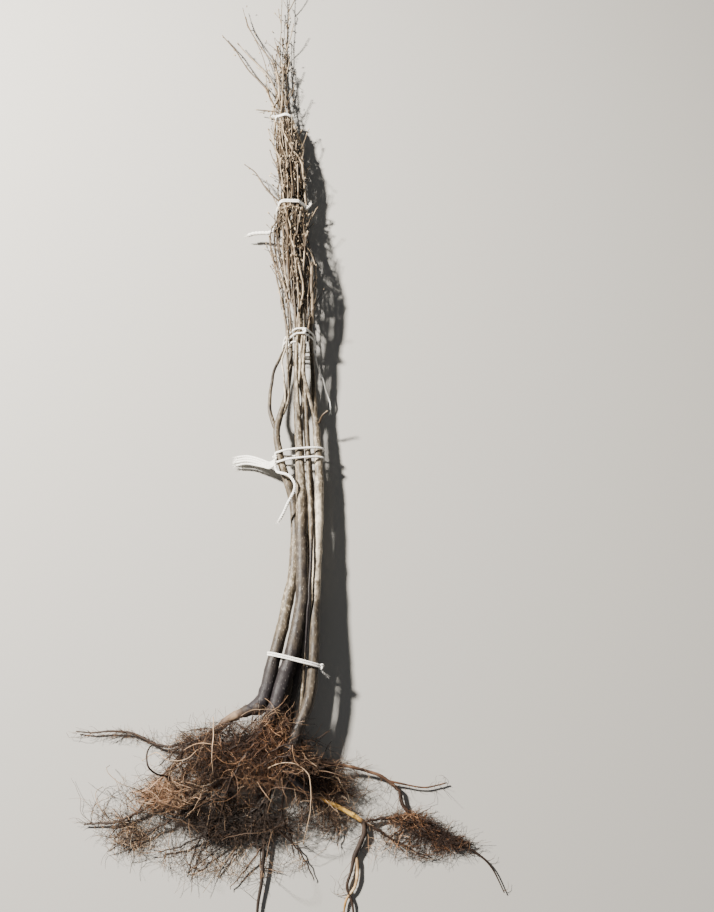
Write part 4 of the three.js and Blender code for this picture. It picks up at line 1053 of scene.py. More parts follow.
def walk(rng, starts, ways, lengths, steps, curl, sink, kink):
    """Kinked walks from starts, and how many points of each stay near its space."""
    left, right, last = ROOT_EDGES
    count = len(starts)
    step = (lengths / steps)[:, None]
    axes = unit(rng.normal(size=(count, 3)) * CURL_AXES)
    rate = curl * rng.gamma(1.4, 0.6, count)
    _, depth = nearest_space(starts)
    leash = np.maximum(rng.choice(LEASHES[0], size=count, p=LEASHES[1]), depth + 0.1)
    points = [starts]
    kept = np.full(count, 1)
    inside = np.full(count, True)
    head = unit(ways)
    for _ in range(steps):
        head = turned(head, axes, rate * step[:, 0] / 10)
        head = head + rng.normal(size=(count, 3)) * kink
        head[:, 2] -= sink
        head = unit(head)
        here = points[-1]
        high = here[:, 2] > ROOT_CEILING
        head[high, 2] = -np.abs(head[high, 2]) - 0.2
        low = here[:, 2] + head[:, 2] * step[:, 0] < ROOT_FLOOR
        head[low, 2] = np.abs(head[low, 2]) * 0.35
        head = unit(head)
        ahead = here + head * step
        ahead[:, 2] = np.clip(ahead[:, 2], ROOT_FLOOR, ROOT_CEILING + 4)
        _, depth = nearest_space(ahead)
        inside &= (depth < leash) & (ahead[:, 0] > left) & (ahead[:, 0] < right) & (ahead[:, 1] > last)
        kept += inside
        points.append(ahead)
    return np.stack(points, axis=1), kept


def pool_of(paths):
    """Points along paths with the direction and radius there."""
    points = np.concatenate([path[:-1, :3] for path in paths])
    ways = np.concatenate([np.diff(path[:, :3], axis=0) for path in paths])
    radius = np.concatenate([path[:-1, 3] / 2 for path in paths])
    return points, unit(ways), radius


def branch(rng, paths, count, steps, length, thick, tip, curl, sink, kink, spread, even=False):
    """Branches off paths, shared out among the spaces or evenly: rows of x, y, z and diameter."""
    points, ways, radius = pool_of(paths)
    room, depth = nearest_space(points)
    crowd = np.bincount(room, minlength=len(SPACE_SHARES)).astype(float)
    weight = SPACE_SHARES[room] / np.maximum(crowd[room], 1) * np.where(depth < 1.2, 1, 0.15)
    if even:
        weight = np.ones(len(points))
    pick = rng.choice(len(points), size=count, p=weight / weight.sum())
    side = unit(np.cross(ways[pick], rng.normal(size=(count, 3))))
    lean = rng.uniform(*spread, count)[:, None]
    head = ways[pick] * np.cos(lean) + side * np.sin(lean)
    lengths = rng.uniform(*length, count)
    start_thick = np.minimum(rng.uniform(*thick, count), radius[pick] * 1.7)
    starts = points[pick] + rng.uniform(0, 1, (count, 1)) * ways[pick] * 2
    lines, kept = walk(rng, starts, head, lengths, steps, curl, sink, kink)
    out = []
    for line, points_kept, width in zip(lines, kept, start_thick):
        if points_kept > 2:
            t = np.linspace(0, 1, points_kept)
            diameter = width * (1 - t) + min(tip, width) * t
            out.append(np.hstack([line[:points_kept], diameter[:, None]]))
    return out


def looks_of(rng, lines, tone, spread, rust):
    """Tone and rustiness of each fine root, by its own chance and by where it lies, with painted shade in the
    mass's hollows and under its upper edge.
    """
    middles = np.stack([line[len(line) // 2, :2] for line in lines])
    tones = rng.normal(tone, spread, len(lines))
    rusts = rng.normal(rust, 0.15, len(lines))
    for place, reach, lighter, rustier in ROOT_PLACES:
        away = np.sum(((middles - place) / reach) ** 2, axis=1)
        tones += lighter * np.exp(-away)
        rusts += rustier * np.exp(-away)
    return np.clip(tones, 0, 1), np.clip(rusts, 0, 1)


def parcels(lines, sides):
    """Lines shared out into groups with few enough triangles each."""
    groups = [[]]
    total = 0
    for line in lines:
        triangles = len(line[0]) * sides * 2
        if total + triangles > MOST_TRIANGLES:
            groups.append([])
            total = 0
        groups[-1].append(line)
        total += triangles
    return groups


# Lines with a thickness and a tone

def add_attribute(mesh, name, values):
    """Give each point of a mesh a number, or a direction where values has columns."""
    kind, field = ("FLOAT_VECTOR", "vector") if values.ndim == 2 else ("FLOAT", "value")
    attribute = mesh.attributes.new(name, kind, "POINT")
    attribute.data.foreach_set(field, values.astype(np.float32).ravel())


def line_object(name, lines, closed=False):
    """Mesh of lines: each has rows of x, y, z and diameter in millimetres, a tone and a tint."""
    counts = np.array([len(rows) for rows, _, _ in lines])
    rows = np.concatenate([np.asarray(rows)[:, :4] for rows, _, _ in lines])
    tone = np.concatenate([np.broadcast_to(tone, len(rows_)) for rows_, tone, _ in lines])
    tint = np.concatenate([np.broadcast_to(tint, len(rows_)) for rows_, _, tint in lines])
    starts = np.concatenate([[0], np.cumsum(counts)[:-1]])
    ends = starts + counts - 1
    first = np.setdiff1d(np.arange(len(rows)), ends, assume_unique=True)
    edges = np.stack([first, first + 1], axis=1)
    if closed:
        edges = np.concatenate([edges, np.stack([ends, starts], axis=1)])
    mesh = bpy.data.meshes.new(name)
    mesh.vertices.add(len(rows))
    mesh.vertices.foreach_set("co", (rows[:, :3] * MM).astype(np.float32).ravel())
    mesh.edges.add(len(edges))
    mesh.edges.foreach_set("vertices", edges.astype(np.int32).ravel())
    add_attribute(mesh, "thick", rows[:, 3] / 2 * MM)
    add_attribute(mesh, "tone", tone)
    add_attribute(mesh, "tint", tint)
    mesh.update()
    obj = bpy.data.objects.new(name, mesh)
    bpy.context.scene.collection.objects.link(obj)
    return obj


# Trees of nodes

def set_inputs(tree, node, inputs):
    """Set inputs to plain values, or link them to a socket or to a node's first output."""
    for key, value in inputs.items():
        if isinstance(value, bpy.types.Node):
            value = value.outputs[0]
        if isinstance(value, bpy.types.NodeSocket):
            tree.links.new(value, node.inputs[key])
        else:
            node.inputs[key].default_value = value


def add_node(tree, kind, inputs=None, **settings):
    node = tree.nodes.new(kind)
    for name, value in settings.items():
        setattr(node, name, value)
    set_inputs(tree, node, inputs or {})
    return node


def maths(tree, operation, *values):
    return add_node(tree, "ShaderNodeMath", dict(enumerate(values)), operation=operation)


def new_group(name, kind, inputs, outputs):
    """A new tree with its sockets, and the outputs of its input node."""
    tree = bpy.data.node_groups.new(name, kind)
    for label, (socket_kind, value) in inputs.items():
        socket = tree.interface.new_socket(name=label, in_out="INPUT", socket_type="NodeSocket" + socket_kind)
        if value is not None:
            socket.default_value = value
    for label, socket_kind in outputs.items():
        tree.interface.new_socket(name=label, in_out="OUTPUT", socket_type="NodeSocket" + socket_kind)
    return tree, tree.nodes.new("NodeGroupInput").outputs


def group_once(name, build):
    """The tree of this name, built on its first use."""
    return bpy.data.node_groups.get(name) or build(name)


def named_value(tree, name, kind="FLOAT"):
    node = add_node(tree, "GeometryNodeInputNamedAttribute", {"Name": name}, data_type=kind)
    return node.outputs["Attribute"]


def end_tree(tree, geometry, skin):
    """End a tree of geometry with smooth shading, real meshes and a material."""
    soft = add_node(tree, "GeometryNodeSetShadeSmooth", {"Geometry": geometry})
    real = add_node(tree, "GeometryNodeRealizeInstances", {"Geometry": soft})
    skinned = add_node(tree, "GeometryNodeSetMaterial", {"Geometry": real, "Material": skin})
    add_node(tree, "NodeGroupOutput", {"Geometry": skinned})
    return tree


def limb_tree(name):
    """Round limbs along lines, with a relief of bumps that follows the wood."""
    tree, given = new_group(name, "GeometryNodeTree", {
        "Geometry": ("Geometry", None), "Sides": ("Int", 8), "Relief": ("Float", 0.0),
        "Relief Size": ("Float", 90.0), "Wood": ("Material", None)}, {"Geometry": "Geometry"})
    curve = add_node(tree, "GeometryNodeMeshToCurve", {"Mesh": given["Geometry"]})
    profile = add_node(tree, "GeometryNodeCurvePrimitiveCircle", {
        "Resolution": given["Sides"], "Radius": 1.0})
    sweep = add_node(tree, "GeometryNodeCurveToMesh", {
        "Curve": curve, "Profile Curve": profile, "Scale": named_value(tree, "thick"), "Fill Caps": True})
    place = add_node(tree, "ShaderNodeVectorMath", {
        0: add_node(tree, "GeometryNodeInputPosition"), 1: (1.0, 0.4, 1.0)}, operation="MULTIPLY")
    noise = add_node(tree, "ShaderNodeTexNoise", {
        "Vector": place, "Scale": given["Relief Size"], "Detail": 3.0})
    height = maths(tree, "MULTIPLY", maths(tree, "SUBTRACT", noise, 0.5), given["Relief"])
    height = maths(tree, "MULTIPLY", height, named_value(tree, "thick"))
    offset = add_node(tree, "ShaderNodeVectorMath", {
        0: add_node(tree, "GeometryNodeInputNormal"), "Scale": height}, operation="SCALE")
    move = add_node(tree, "GeometryNodeSetPosition", {"Geometry": sweep, "Offset": offset})
    return end_tree(tree, move, given["Wood"])


def bud_tree(name):
    """One small bud on each point, turned along its way."""
    tree, given = new_group(name, "GeometryNodeTree", {
        "Geometry": ("Geometry", None), "Bud Size": ("Float", 1.0), "Bud Skin": ("Material", None)},
        {"Geometry": "Geometry"})
    ball = add_node(tree, "GeometryNodeMeshUVSphere", {"Segments": 5, "Rings": 4, "Radius": 1.0})
    bud = add_node(tree, "GeometryNodeTransform", {
        "Geometry": ball, "Translation": (0.0, 0.0, 1.2), "Scale": (1.0, 1.0, 2.1)})
    turn = add_node(tree, "FunctionNodeAlignRotationToVector", {
        "Vector": named_value(tree, "way", "FLOAT_VECTOR")}, axis="Z")
    size = maths(tree, "MULTIPLY", named_value(tree, "size"), given["Bud Size"])
    spots = add_node(tree, "GeometryNodeInstanceOnPoints", {
        "Points": given["Geometry"], "Instance": bud, "Rotation": turn, "Scale": size})
    return end_tree(tree, spots, given["Bud Skin"])


def grow(obj, tree, inputs):
    """Run a tree of nodes on an object and keep the result as its plain mesh."""
    modifier = obj.modifiers.new("Grow", "NODES")
    modifier.node_group = tree
    for item in tree.interface.items_tree:
        if item.item_type == "SOCKET" and item.in_out == "INPUT" and item.name in inputs:
            modifier[item.identifier] = inputs[item.name]
    depsgraph = bpy.context.evaluated_depsgraph_get()
    grown = bpy.data.meshes.new_from_object(obj.evaluated_get(depsgraph))
    obj.modifiers.remove(modifier)
    lines = obj.data
    obj.data = grown
    bpy.data.meshes.remove(lines)
    grown.name = obj.name
    if not len(grown.polygons):
        raise RuntimeError("no faces grew on " + obj.name)
    return obj


def limbs_object(name, lines, wood, sides, relief=0.0, relief_size=90.0, closed=False):
    return grow(line_object(name, lines, closed), group_once("Limbs Along Lines", limb_tree), {
        "Sides": sides, "Relief": relief, "Relief Size": relief_size, "Wood": wood})


def settle(obj, slot, *nodes):
    """Tie a finished piece to the body and hide the nodes that it stands for."""
    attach(obj, "root")
    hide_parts(*nodes)


# Materials

def mottle_tree(name):
    """Patches, flecks and a height that run along the wood."""
    tree, given = new_group(name, "ShaderNodeTree", {
        "Patch Size": ("Float", 60.0), "Fleck Size": ("Float", 500.0), "Stretch": ("Float", 0.3)},
        {"Patches": "Float", "Flecks": "Float", "Height": "Float"})
    stretch = add_node(tree, "ShaderNodeCombineXYZ", {"X": 1.0, "Y": given["Stretch"], "Z": 1.0})
    place = add_node(tree, "ShaderNodeVectorMath", {
        0: add_node(tree, "ShaderNodeTexCoord").outputs["Object"], 1: stretch}, operation="MULTIPLY")
    broad = add_node(tree, "ShaderNodeTexNoise", {
        "Vector": place, "Scale": given["Patch Size"], "Detail": 4.0, "Roughness": 0.6})
    spots = add_node(tree, "ShaderNodeTexVoronoi", {
        "Vector": place, "Scale": given["Fleck Size"], "Randomness": 1.0})
    fine = add_node(tree, "ShaderNodeTexNoise", {
        "Vector": place, "Scale": given["Fleck Size"], "Detail": 6.0, "Roughness": 0.65})
    flecks = mapped(tree, spots, (1.0, 0.0), (0.1, 0.26))
    add_node(tree, "NodeGroupOutput", {
        "Patches": mapped(tree, broad, (0.0, 1.0), (0.34, 0.66)), "Flecks": flecks,
        "Height": maths(tree, "MULTIPLY_ADD", flecks, 0.35, fine)})
    return tree


def mapped(tree, value, to, start=(0.0, 1.0)):
    """Carry the range start of a value over to the range to."""
    return add_node(tree, "ShaderNodeMapRange", {
        "Value": value, "From Min": start[0], "From Max": start[1], "To Min": to[0], "To Max": to[1]})


def attribute_value(tree, name):
    return add_node(tree, "ShaderNodeAttribute", attribute_name=name).outputs["Fac"]


def mix_colours(tree, factor, first, second, blend="MIX"):
    """Mix two colours, each a value or a socket, by a socket or a value."""
    first, second = (value if isinstance(value, bpy.types.NodeSocket) else (*value, 1.0)
                     for value in (first, second))
    node = add_node(tree, "ShaderNodeMix", {0: factor, 6: first, 7: second},
                    data_type="RGBA", blend_type=blend)
    return node.outputs[2]


def colour_ramp(tree, factor, *stops):
    """A colour by its place from 0 to 1, between stops of a place and a colour."""
    node = add_node(tree, "ShaderNodeValToRGB", {"Fac": factor})
    ramp = node.color_ramp
    while len(ramp.elements) < len(stops):
        ramp.elements.new(0.5)
    for element, (place, shade) in zip(ramp.elements, stops):
        element.position = place
        element.color = (*shade, 1.0)
    return node.outputs["Color"]


def new_material(name):
    material = bpy.data.materials.new(name)
    material.use_nodes = True
    return material, material.node_tree


def mottle_of(tree, patch, fleck, stretch):
    """The mottle's outputs: patches, flecks and height."""
    node = add_node(tree, "ShaderNodeGroup", {"Patch Size": patch, "Fleck Size": fleck, "Stretch": stretch},
                    node_tree=group_once("Wood Mottle", mottle_tree))
    return node.outputs


def finish_skin(tree, base, roughness, specular, height, strength, distance):
    """Give the shader its colour, its gloss and its bumps."""
    bump = add_node(tree, "ShaderNodeBump", {"Strength": strength, "Distance": distance, "Height": height})
    set_inputs(tree, tree.nodes["Principled BSDF"], {
        "Base Color": base, "Roughness": roughness, "Specular IOR Level": specular, "Normal": bump})


def bark_material(name, colours):
    """Smooth young bark: grey brown by its tone, which also carries painted light, flecked, darker where it
    was in the ground and where painted shade is laid on.
    """
    material, tree = new_material(name)
    mottle = mottle_of(tree, 120.0, 300.0, 0.5)
    tint = attribute_value(tree, "tint")
    tone = maths(tree, "ADD", attribute_value(tree, "tone"), mapped(tree, mottle["Patches"], (-0.26, 0.2)))
    tone = maths(tree, "ADD", tone, mapped(tree, mottle["Height"], (-0.2, 0.2), (0.35, 0.75)))
    shade = colour_ramp(tree, tone,
                        (0.0, colours.bark_dark), (0.5, colours.bark_middle), (1.0, colours.bark_light))
    # The tint mixes in the collar's dark bark and painted shade alike
    damp_and_painted_shade = mix_colours(tree, tint, shade, colours.bark_damp_and_painted_shade)
    flecked = mix_colours(tree, mapped(tree, mottle["Flecks"], (0.0, 0.1)), damp_and_painted_shade, colours.bark_fleck)
    duller = mapped(tree, tint, (0.0, 0.1), (0.65, 1.0))
    rough = maths(tree, "ADD", mapped(tree, mottle["Patches"], (0.34, 0.52)), duller)
    finish_skin(tree, flecked, rough, 0.18, mottle["Height"], 0.7, 0.0008)
    return material


def twig_material(name, colours):
    """Thin young wood, its colour dealt out strand by strand."""
    material, tree = new_material(name)
    mottle = mottle_of(tree, 85.0, 900.0, 0.4)
    base = colour_ramp(tree, attribute_value(tree, "tone"),
                       (0.0, colours.twig_dark), (0.5, colours.twig_middle), (1.0, colours.twig_light))
    shade = mix_colours(tree, mapped(tree, mottle["Patches"], (0.0, 0.6)), base, colours.twig_dark)
    flecked = mix_colours(tree, mapped(tree, mottle["Flecks"], (0.0, 0.25)), shade, colours.twig_light)
    finish_skin(tree, flecked, 0.45, 0.3, mottle["Height"], 0.6, 0.0004)
    return material


def root_material(name, colours, rusty, patch, fleck, bump):
    """Root skin or fibre: from nearly black to pale straw by its tone, coloured by its tint."""
    material, tree = new_material(name)
    mottle = mottle_of(tree, patch, fleck, 1.0)
    base = colour_ramp(tree, attribute_value(tree, "tone"),
                       (0.0, colours.root_black), (0.3, colours.root_brown), (0.55, colours.root_middle),
                       (0.8, colours.root_gold), (1.0, colours.root_straw))
    shade = mix_colours(tree, mapped(tree, mottle["Patches"], (0.0, 0.45)), base, colours.root_brown)
    warm = mix_colours(tree, 1.0, shade, rusty, "MULTIPLY")
    tinted = mix_colours(tree, attribute_value(tree, "tint"), shade, warm)
    finish_skin(tree, tinted, 0.6, 0.3, mottle["Height"], 0.6, bump)
    return material


def string_material(name, colours):
    """Pale twisted string with soiled patches."""
    material, tree = new_material(name)
    mottle = mottle_of(tree, 120.0, 1800.0, 1.0)
    soiled = mix_colours(tree, mapped(tree, mottle["Patches"], (0.0, 0.5)), colours.string_pale,
                         colours.string_soiled)
    finish_skin(tree, soiled, 0.55, 0.3, mottle["Height"], 0.5, 0.0003)
    return material


# What the user can change

def whole(name, description, value, least=1):
    return IntProperty(name=name, description=description, default=value, min=least)


def colour(name, description, value):
    return FloatVectorProperty(name=name, description=description, default=value, size=3, min=0.0, max=1.0,
                               subtype="COLOR")


class SaplingSizes(bpy.types.PropertyGroup):
    seed: IntProperty(name="Seed", description="Seed of the thin strands and spurs", default=77)
    fine_strands: whole("Thin Strands", "Thin strands in the gaps", 46, 0)
    tangle: whole("Tangle", "Thin twigs that lie round the bundle", 300, 0)
    spur_spacing: FloatProperty(name="Spur Spacing", description="Distance between spurs, in mm",
                                default=46.0, min=8.0)
    bark_sides: whole("Bark Sides", "Sides of a stem", 26, 6)
    ring_step: FloatProperty(name="Ring Step", description="Distance between a stem's rings, in mm",
                             default=3.0, min=1.0)
    bark_relief: FloatProperty(name="Bark Relief", description="Height of bumps against the radius",
                               default=0.12, min=0.0, subtype="FACTOR")
    bud_size: FloatProperty(name="Bud Size", description="Half width of a bud, in mm", default=1.3, min=0.2)
    coarse_roots: whole("Coarse Roots", "Roots of the first order", 70)
    middle_roots: whole("Middle Roots", "Roots of the second order", 480)
    thin_roots: whole("Thin Roots", "Roots of the third order", 3000)
    hair_roots: whole("Hair Roots", "Roots of the fourth order", 8800)
    stray_roots: whole("Stray Roots", "Pale roots over the masses", 95)
    sheath_roots: whole("Sheath Roots", "Hairs along the woody roots", 1500)
    string_width: FloatProperty(name="String Width", description="Width of the string, in mm",
                                default=3.2, min=0.5)


class SaplingColours(bpy.types.PropertyGroup):
    bark_dark: colour("Dark Bark", "Bark in a stem's dark parts", (0.028, 0.023, 0.018))
    bark_middle: colour("Middle Bark", "Bark of a plain stem", (0.125, 0.099, 0.068))
    bark_light: colour("Light Bark", "Bark in full light", (0.66, 0.57, 0.45))
    bark_fleck: colour("Bark Fleck", "Small pale flecks", (0.6, 0.57, 0.52))
    # Dark bark of the collar, also used as painted shade on the stems, as on the slender stem's dark stretch
    bark_damp_and_painted_shade: colour("Collar", "Bark that was in the ground", (0.02, 0.017, 0.019))
    twig_dark: colour("Dark Twig", "Darkest twigs", (0.018, 0.0125, 0.008))
    twig_middle: colour("Middle Twig", "Plain twigs", (0.115, 0.078, 0.046))
    twig_light: colour("Light Twig", "Palest twigs", (0.68, 0.54, 0.37))
    root_black: colour("Black Root", "Darkest roots", (0.012, 0.009, 0.0075))
    root_brown: colour("Brown Root", "Brown roots", (0.031, 0.02, 0.014))
    root_middle: colour("Middle Root", "Plain roots", (0.13, 0.084, 0.055))
    root_gold: colour("Golden Root", "Golden roots", (0.44, 0.31, 0.19))
    root_straw: colour("Straw Root", "Palest roots", (0.78, 0.66, 0.5))
    root_rusty: colour("Rusty Tint", "Tint of the rusty roots", (1.0, 0.68, 0.5))
    root_yellow: colour("Yellow Tint", "Tint of the yellow root", (1.0, 0.74, 0.24))
    string_pale: colour("String", "The string", (0.94, 0.93, 0.89))
    string_soiled: colour("Soiled String", "Dirt on the string", (0.66, 0.61, 0.53))
    floor: colour("Floor", "The studio floor", (0.36, 0.35, 0.33))


# Detail of the limbs

# Kinds of limbs: distance between leaf scars, how much they swell, and how much the width wavers
LIMB_DETAIL = {
    "stem": (42, 0.07, 0.018),
    "fork": (24, 0.1, 0.03),
    "strand": (26, 0.12, 0.03),
    "thin strand": (24, 0.14, 0.03),
    "upper twig": (24, 0.12, 0.03),
    "side twig": (18, 0.16, 0.04),
    "low twig": (12, 0.16, 0.04),
    "root": (15, 0.14, 0.08),
}

# How far a leaf scar reaches, how often the width wavers, and how a limb drifts from its line
SCAR_REACH = 3.4
WAVER_STEP = 17
DRIFT = 0.3
DRIFT_START = 20

# How thin young shoots are drawn: y, and share of the width
SHOOT_WIDTH = ([-190, -120, -40, 60, 300, 480, 620], [1, 0.86, 0.76, 0.7, 0.68, 0.62, 0.5])

# Where the low stems are drawn fuller, where the slender one hides, and where loose strands thin out
FULL_STEMS = ([-640, -600, -400, -220], [0.3, 1, 1, 0])
HIDDEN_STEM = ([-600, -550, -420, -370], [1, 0.6, 0.6, 1])
LOOSE_ENDS = ([460, 500], [1, 0.45])

# How much paler strands are towards the crown's end
PALE_ENDS = ([430, 520], [0, 0.22])

# Tones dealt out in the crown: the palest one, and how strongly they keep to the dark
STRAND_TONES = (0.5, 2.2)
THIN_STRAND_TONES = (0.44, 2.3)
SPUR_TONES = (0.6, 1.9)
SPURS_LEFT_OUT = 0.85

# Relief of the wood: height of the bumps against the radius, and their size
BARK_RELIEF_SIZE = 110.0
ROOT_RELIEF = (0.55, 170.0)


def swollen(rows, step, rng, kind):
    """Rows at a fine step, swollen at the leaf scars and a little uneven between them."""
    scar_gap, swell, waver = LIMB_DETAIL[kind]
    fine = curve_through(rows, step)
    lengths = np.concatenate([[0], np.cumsum(np.linalg.norm(np.diff(fine[:, :3], axis=0), axis=1))])
    factor = np.ones(len(fine))
    at = scar_gap * rng.uniform(0.3, 1.0)
    while at < lengths[-1]:
        factor += swell * rng.uniform(0.5, 1.2) * np.exp(-((lengths - at) / SCAR_REACH) ** 2)
        at += scar_gap * rng.uniform(0.6, 1.5)
    marks = np.arange(0, lengths[-1] + 40, WAVER_STEP)
    factor += np.interp(lengths, marks, rng.normal(0, waver, len(marks)))
    fine[:, 3] *= factor
    for axis in (0, 2):
        drift = np.interp(lengths, marks, rng.normal(0, DRIFT, len(marks)))
        fine[:, axis] += drift * np.minimum(1, lengths / DRIFT_START)
    return fine


def slimmed(rows):
    """Rows drawn out thinner towards the crown's end, as young shoots are."""
    rows = rows.copy()
    rows[:, 3] *= np.interp(rows[:, 1], *SHOOT_WIDTH)
    return rows


def dealt(rng, most, darker):
    """A tone up to most, the darker ones more often."""
    return most * rng.random() ** darker


def stem_tone(rows, rng, middle, spread, least=0):
    """A tone that wanders along a limb."""
    marks = np.linspace(0, 1, 16)
    tones = rng.normal(middle, spread, len(marks))
    return np.clip(np.interp(np.linspace(0, 1, len(rows)), marks, tones), least, 1)


# Along each stem: y, tone, and how dark and damp it is, a mix that also lays painted shade
STEM_LOOKS = {
    "stem_left": [
        (-640, 0.05, 1), (-600, 0.08, 0.95), (-575, 0.14, 0.76), (-556, 0.26, 0.5), (-525, 0.46, 0.14),
        (-480, 0.56, 0.04), (-300, 0.5, 0.06), (-100, 0.44, 0.06), (215, 0.3, 0)],
    "stem_centre": [
        (-640, 0.02, 1), (-600, 0.05, 0.98), (-575, 0.1, 0.86), (-545, 0.26, 0.54), (-500, 0.36, 0.42),
        (-440, 0.24, 0.56), (-385, 0.22, 0.5), (-360, 0.44, 0.16), (-300, 0.56, 0.02), (-100, 0.44, 0),
        (300, 0.3, 0)],
    "stem_under": [
        (-665, 0.1, 0.88), (-600, 0.12, 0.84), (-520, 0.2, 0.6), (-420, 0.4, 0.15), (-250, 0.5, 0),
        (170, 0.26, 0)],
    # Painted light: the right stem is drawn palest from y −462 to −345, to look fully lit where the centre
    # and slender stems shade it
    "stem_right": [
        (-700, 0.08, 0.92), (-668, 0.15, 0.76), (-640, 0.25, 0.48), (-600, 0.34, 0.32), (-490, 0.33, 0.3),
        (-462, 0.8, 0), (-345, 0.98, 0), (-300, 0.62, 0), (-250, 0.5, 0), (-100, 0.42, 0), (330, 0.26, 0)],
    # Painted shade: from y −540 to −410 the slender stem is drawn nearly black, so it reads as lying in shade
    # between the other stems
    "stem_slender": [
        (-667, 0.45, 0.1), (-565, 0.55, 0.1), (-540, 0.06, 0.8), (-410, 0.06, 0.8), (-385, 0.55, 0),
        (-100, 0.44, 0), (120, 0.3, 0)],
    "bough_left": [(-215, 0.42, 0.1), (-120, 0.32, 0.15), (60, 0.28, 0.05)],
}

# How much fuller the low stems are drawn
STEM_SWELL = {"stem_left": 0.3, "stem_centre": 0.2, "stem_right": 0.1}

# Woody roots that bulge or narrow between their ends
WOOD_SWELL = {"root_left": 0.28, "root_right": -0.3, "root_right_upper": -0.25}

# Woody roots: which skin, then share of the length, tone and tint
ROOT_LOOKS = {
    # Painted shade: root_left starts near black beside the collar, where it lies in shade; past that it keeps
    # its own tan and red brown
    "root_left": ("rusty", [
        (0, 0.12, 0.1), (0.12, 0.2, 0.0), (0.28, 0.58, 0.0), (0.5, 0.5, 0.1), (0.7, 0.26, 0.5),
        (1, 0.2, 0.4)]),
    "root_left_side": ("rusty", [(0, 0.14, 0.3), (1, 0.14, 0.3)]),
    "root_centre": ("rusty", [(0, 0.08, 0.0), (1, 0.2, 0.4)]),
    "root_under": ("rusty", [(0, 0.1, 0.0), (0.6, 0.16, 0.4), (0.8, 0.48, 0.6), (1, 0.5, 0.5)]),
    "root_right": ("yellow", [
        (0, 0.14, 0.2), (0.46, 0.16, 0.3), (0.58, 0.7, 0.9), (0.66, 0.9, 1.0), (0.9, 0.96, 1.0),
        (0.97, 0.6, 0.9), (1, 0.3, 0.6)]),
    "root_right_low": ("rusty", [(0, 0.3, 0.3), (0.3, 0.2, 0.3), (0.7, 0.26, 0.3), (1, 0.3, 0.3)]),
    "root_right_upper": ("rusty", [
        (0, 0.14, 0.4), (0.3, 0.22, 0.6), (0.5, 0.55, 0.5), (0.62, 0.3, 0.7), (0.75, 0.5, 0.6),
        (1, 0.34, 0.7)]),
    "root_right_far": ("rusty", [(0, 0.32, 0.7), (1, 0.3, 0.7)]),
}
FORK_LOOKS = {
    "root_right_low": ("yellow", [(0, 0.7, 0.3), (0.6, 0.92, 0.4), (0.8, 0.6, 0.9), (1, 0.7, 0.3)]),
    "root_right_upper": ("rusty", [(0, 0.4, 0.9), (1, 0.42, 0.9)]),
}

# Orders of fine roots: the limbs they branch off, bends, lengths, diameters at the start and the
# tip, how much they curl, sink and kink, and the angles at which they leave
ROOT_ORDERS = {
    "coarse": (("woody", "mains", "collars"), {
        "steps": 22, "length": (70, 170), "thick": (1.8, 3.0), "tip": 0.9,
        "curl": 0.07, "sink": 0.04, "kink": 0.1, "spread": (0.3, 1.1)}),
    "middle": (("woody", "mains", "coarse"), {
        "steps": 18, "length": (60, 150), "thick": (0.8, 1.35), "tip": 0.6,
        "curl": 0.12, "sink": 0.02, "kink": 0.16, "spread": (0.4, 1.3)}),
    "thin": (("mains", "coarse", "middle"), {
        "steps": 14, "length": (46, 130), "thick": (0.55, 0.95), "tip": 0.4,
        "curl": 0.18, "sink": 0.01, "kink": 0.22, "spread": (0.4, 1.5)}),
    "hair": (("middle", "thin"), {
        "steps": 9, "length": (24, 84), "thick": (0.36, 0.6), "tip": 0.26,
        "curl": 0.24, "sink": 0.0, "kink": 0.28, "spread": (0.5, 1.6)}),
    "stray": (("mains", "coarse", "middle"), {
        "steps": 14, "length": (60, 150), "thick": (0.6, 1.0), "tip": 0.4,
        "curl": 0.14, "sink": -0.05, "kink": 0.14, "spread": (0.4, 1.4)}),
    "sheath": (("woody", "forks", "fibres"), {
        "steps": 7, "length": (14, 52), "thick": (0.45, 0.8), "tip": 0.3,
        "curl": 0.16, "sink": 0.02, "kink": 0.3, "spread": (0.15, 0.9), "even": True}),
}

# Looks of each order: sides, tone, how far tones spread, and how rusty
ORDER_LOOKS = {
    "mains": (6, 0.24, 0.08, 0.4),
    "coarse": (6, 0.26, 0.1, 0.35),
    "middle": (4, 0.38, 0.2, 0.28),
    "thin": (3, 0.46, 0.25, 0.3),
    "hair": (3, 0.53, 0.27, 0.3),
    "sheath": (3, 0.42, 0.16, 0.45),
    "stray": (3, 0.74, 0.12, 0.25),
    "lone": (6, 0.82, 0.06, 0.25),
}


def lone_root(rng, thick, points):
    """A single root that lies over the masses and dives into them at its ends."""
    line = curve_through(points, 5)
    line += np.cumsum(rng.normal(0, 0.35, line.shape), axis=0) * 0.7
    cover = height_over(line) + 1.5
    inner = np.sin(np.linspace(0, math.pi, len(line))) ** 0.5
    line[:, 2] = np.maximum(line[:, 2], np.minimum(cover, ROOT_CEILING) * inner)
    line[:, 2] = np.minimum(line[:, 2], ROOT_CEILING + 4)
    return np.hstack([line, np.full((len(line), 1), thick)])


def guide_root(rng, first, last, points):
    """A coarse root along a drawn path, a little shaken."""
    line = curve_through(points, 6)
    line += rng.normal(0, 0.7, line.shape)
    line[:, 2] = np.clip(line[:, 2], 1, ROOT_CEILING + 1)
    return np.hstack([line, np.linspace(first, last, len(line))[:, None]])


# Detail of the string: plies, their distance from the middle, and the length of a twist
PLIES = 3
PLY_OUT = 0.24
PLY_WIDTH = 0.5
TWIST = 2.6
STRING_STEP = 1.1

# Knots and frayed ends
KNOT_WAYS = {"left": (-1, 0, 0.5), "right": (1, 0, 0.4), "top": (0, 0, 1)}
KNOT_POINTS = 60
KNOT_SIZE = 1.25
KNOT_WIDTH = 2.5
FRAYS = 8
FRAY_LENGTH = (4, 9)


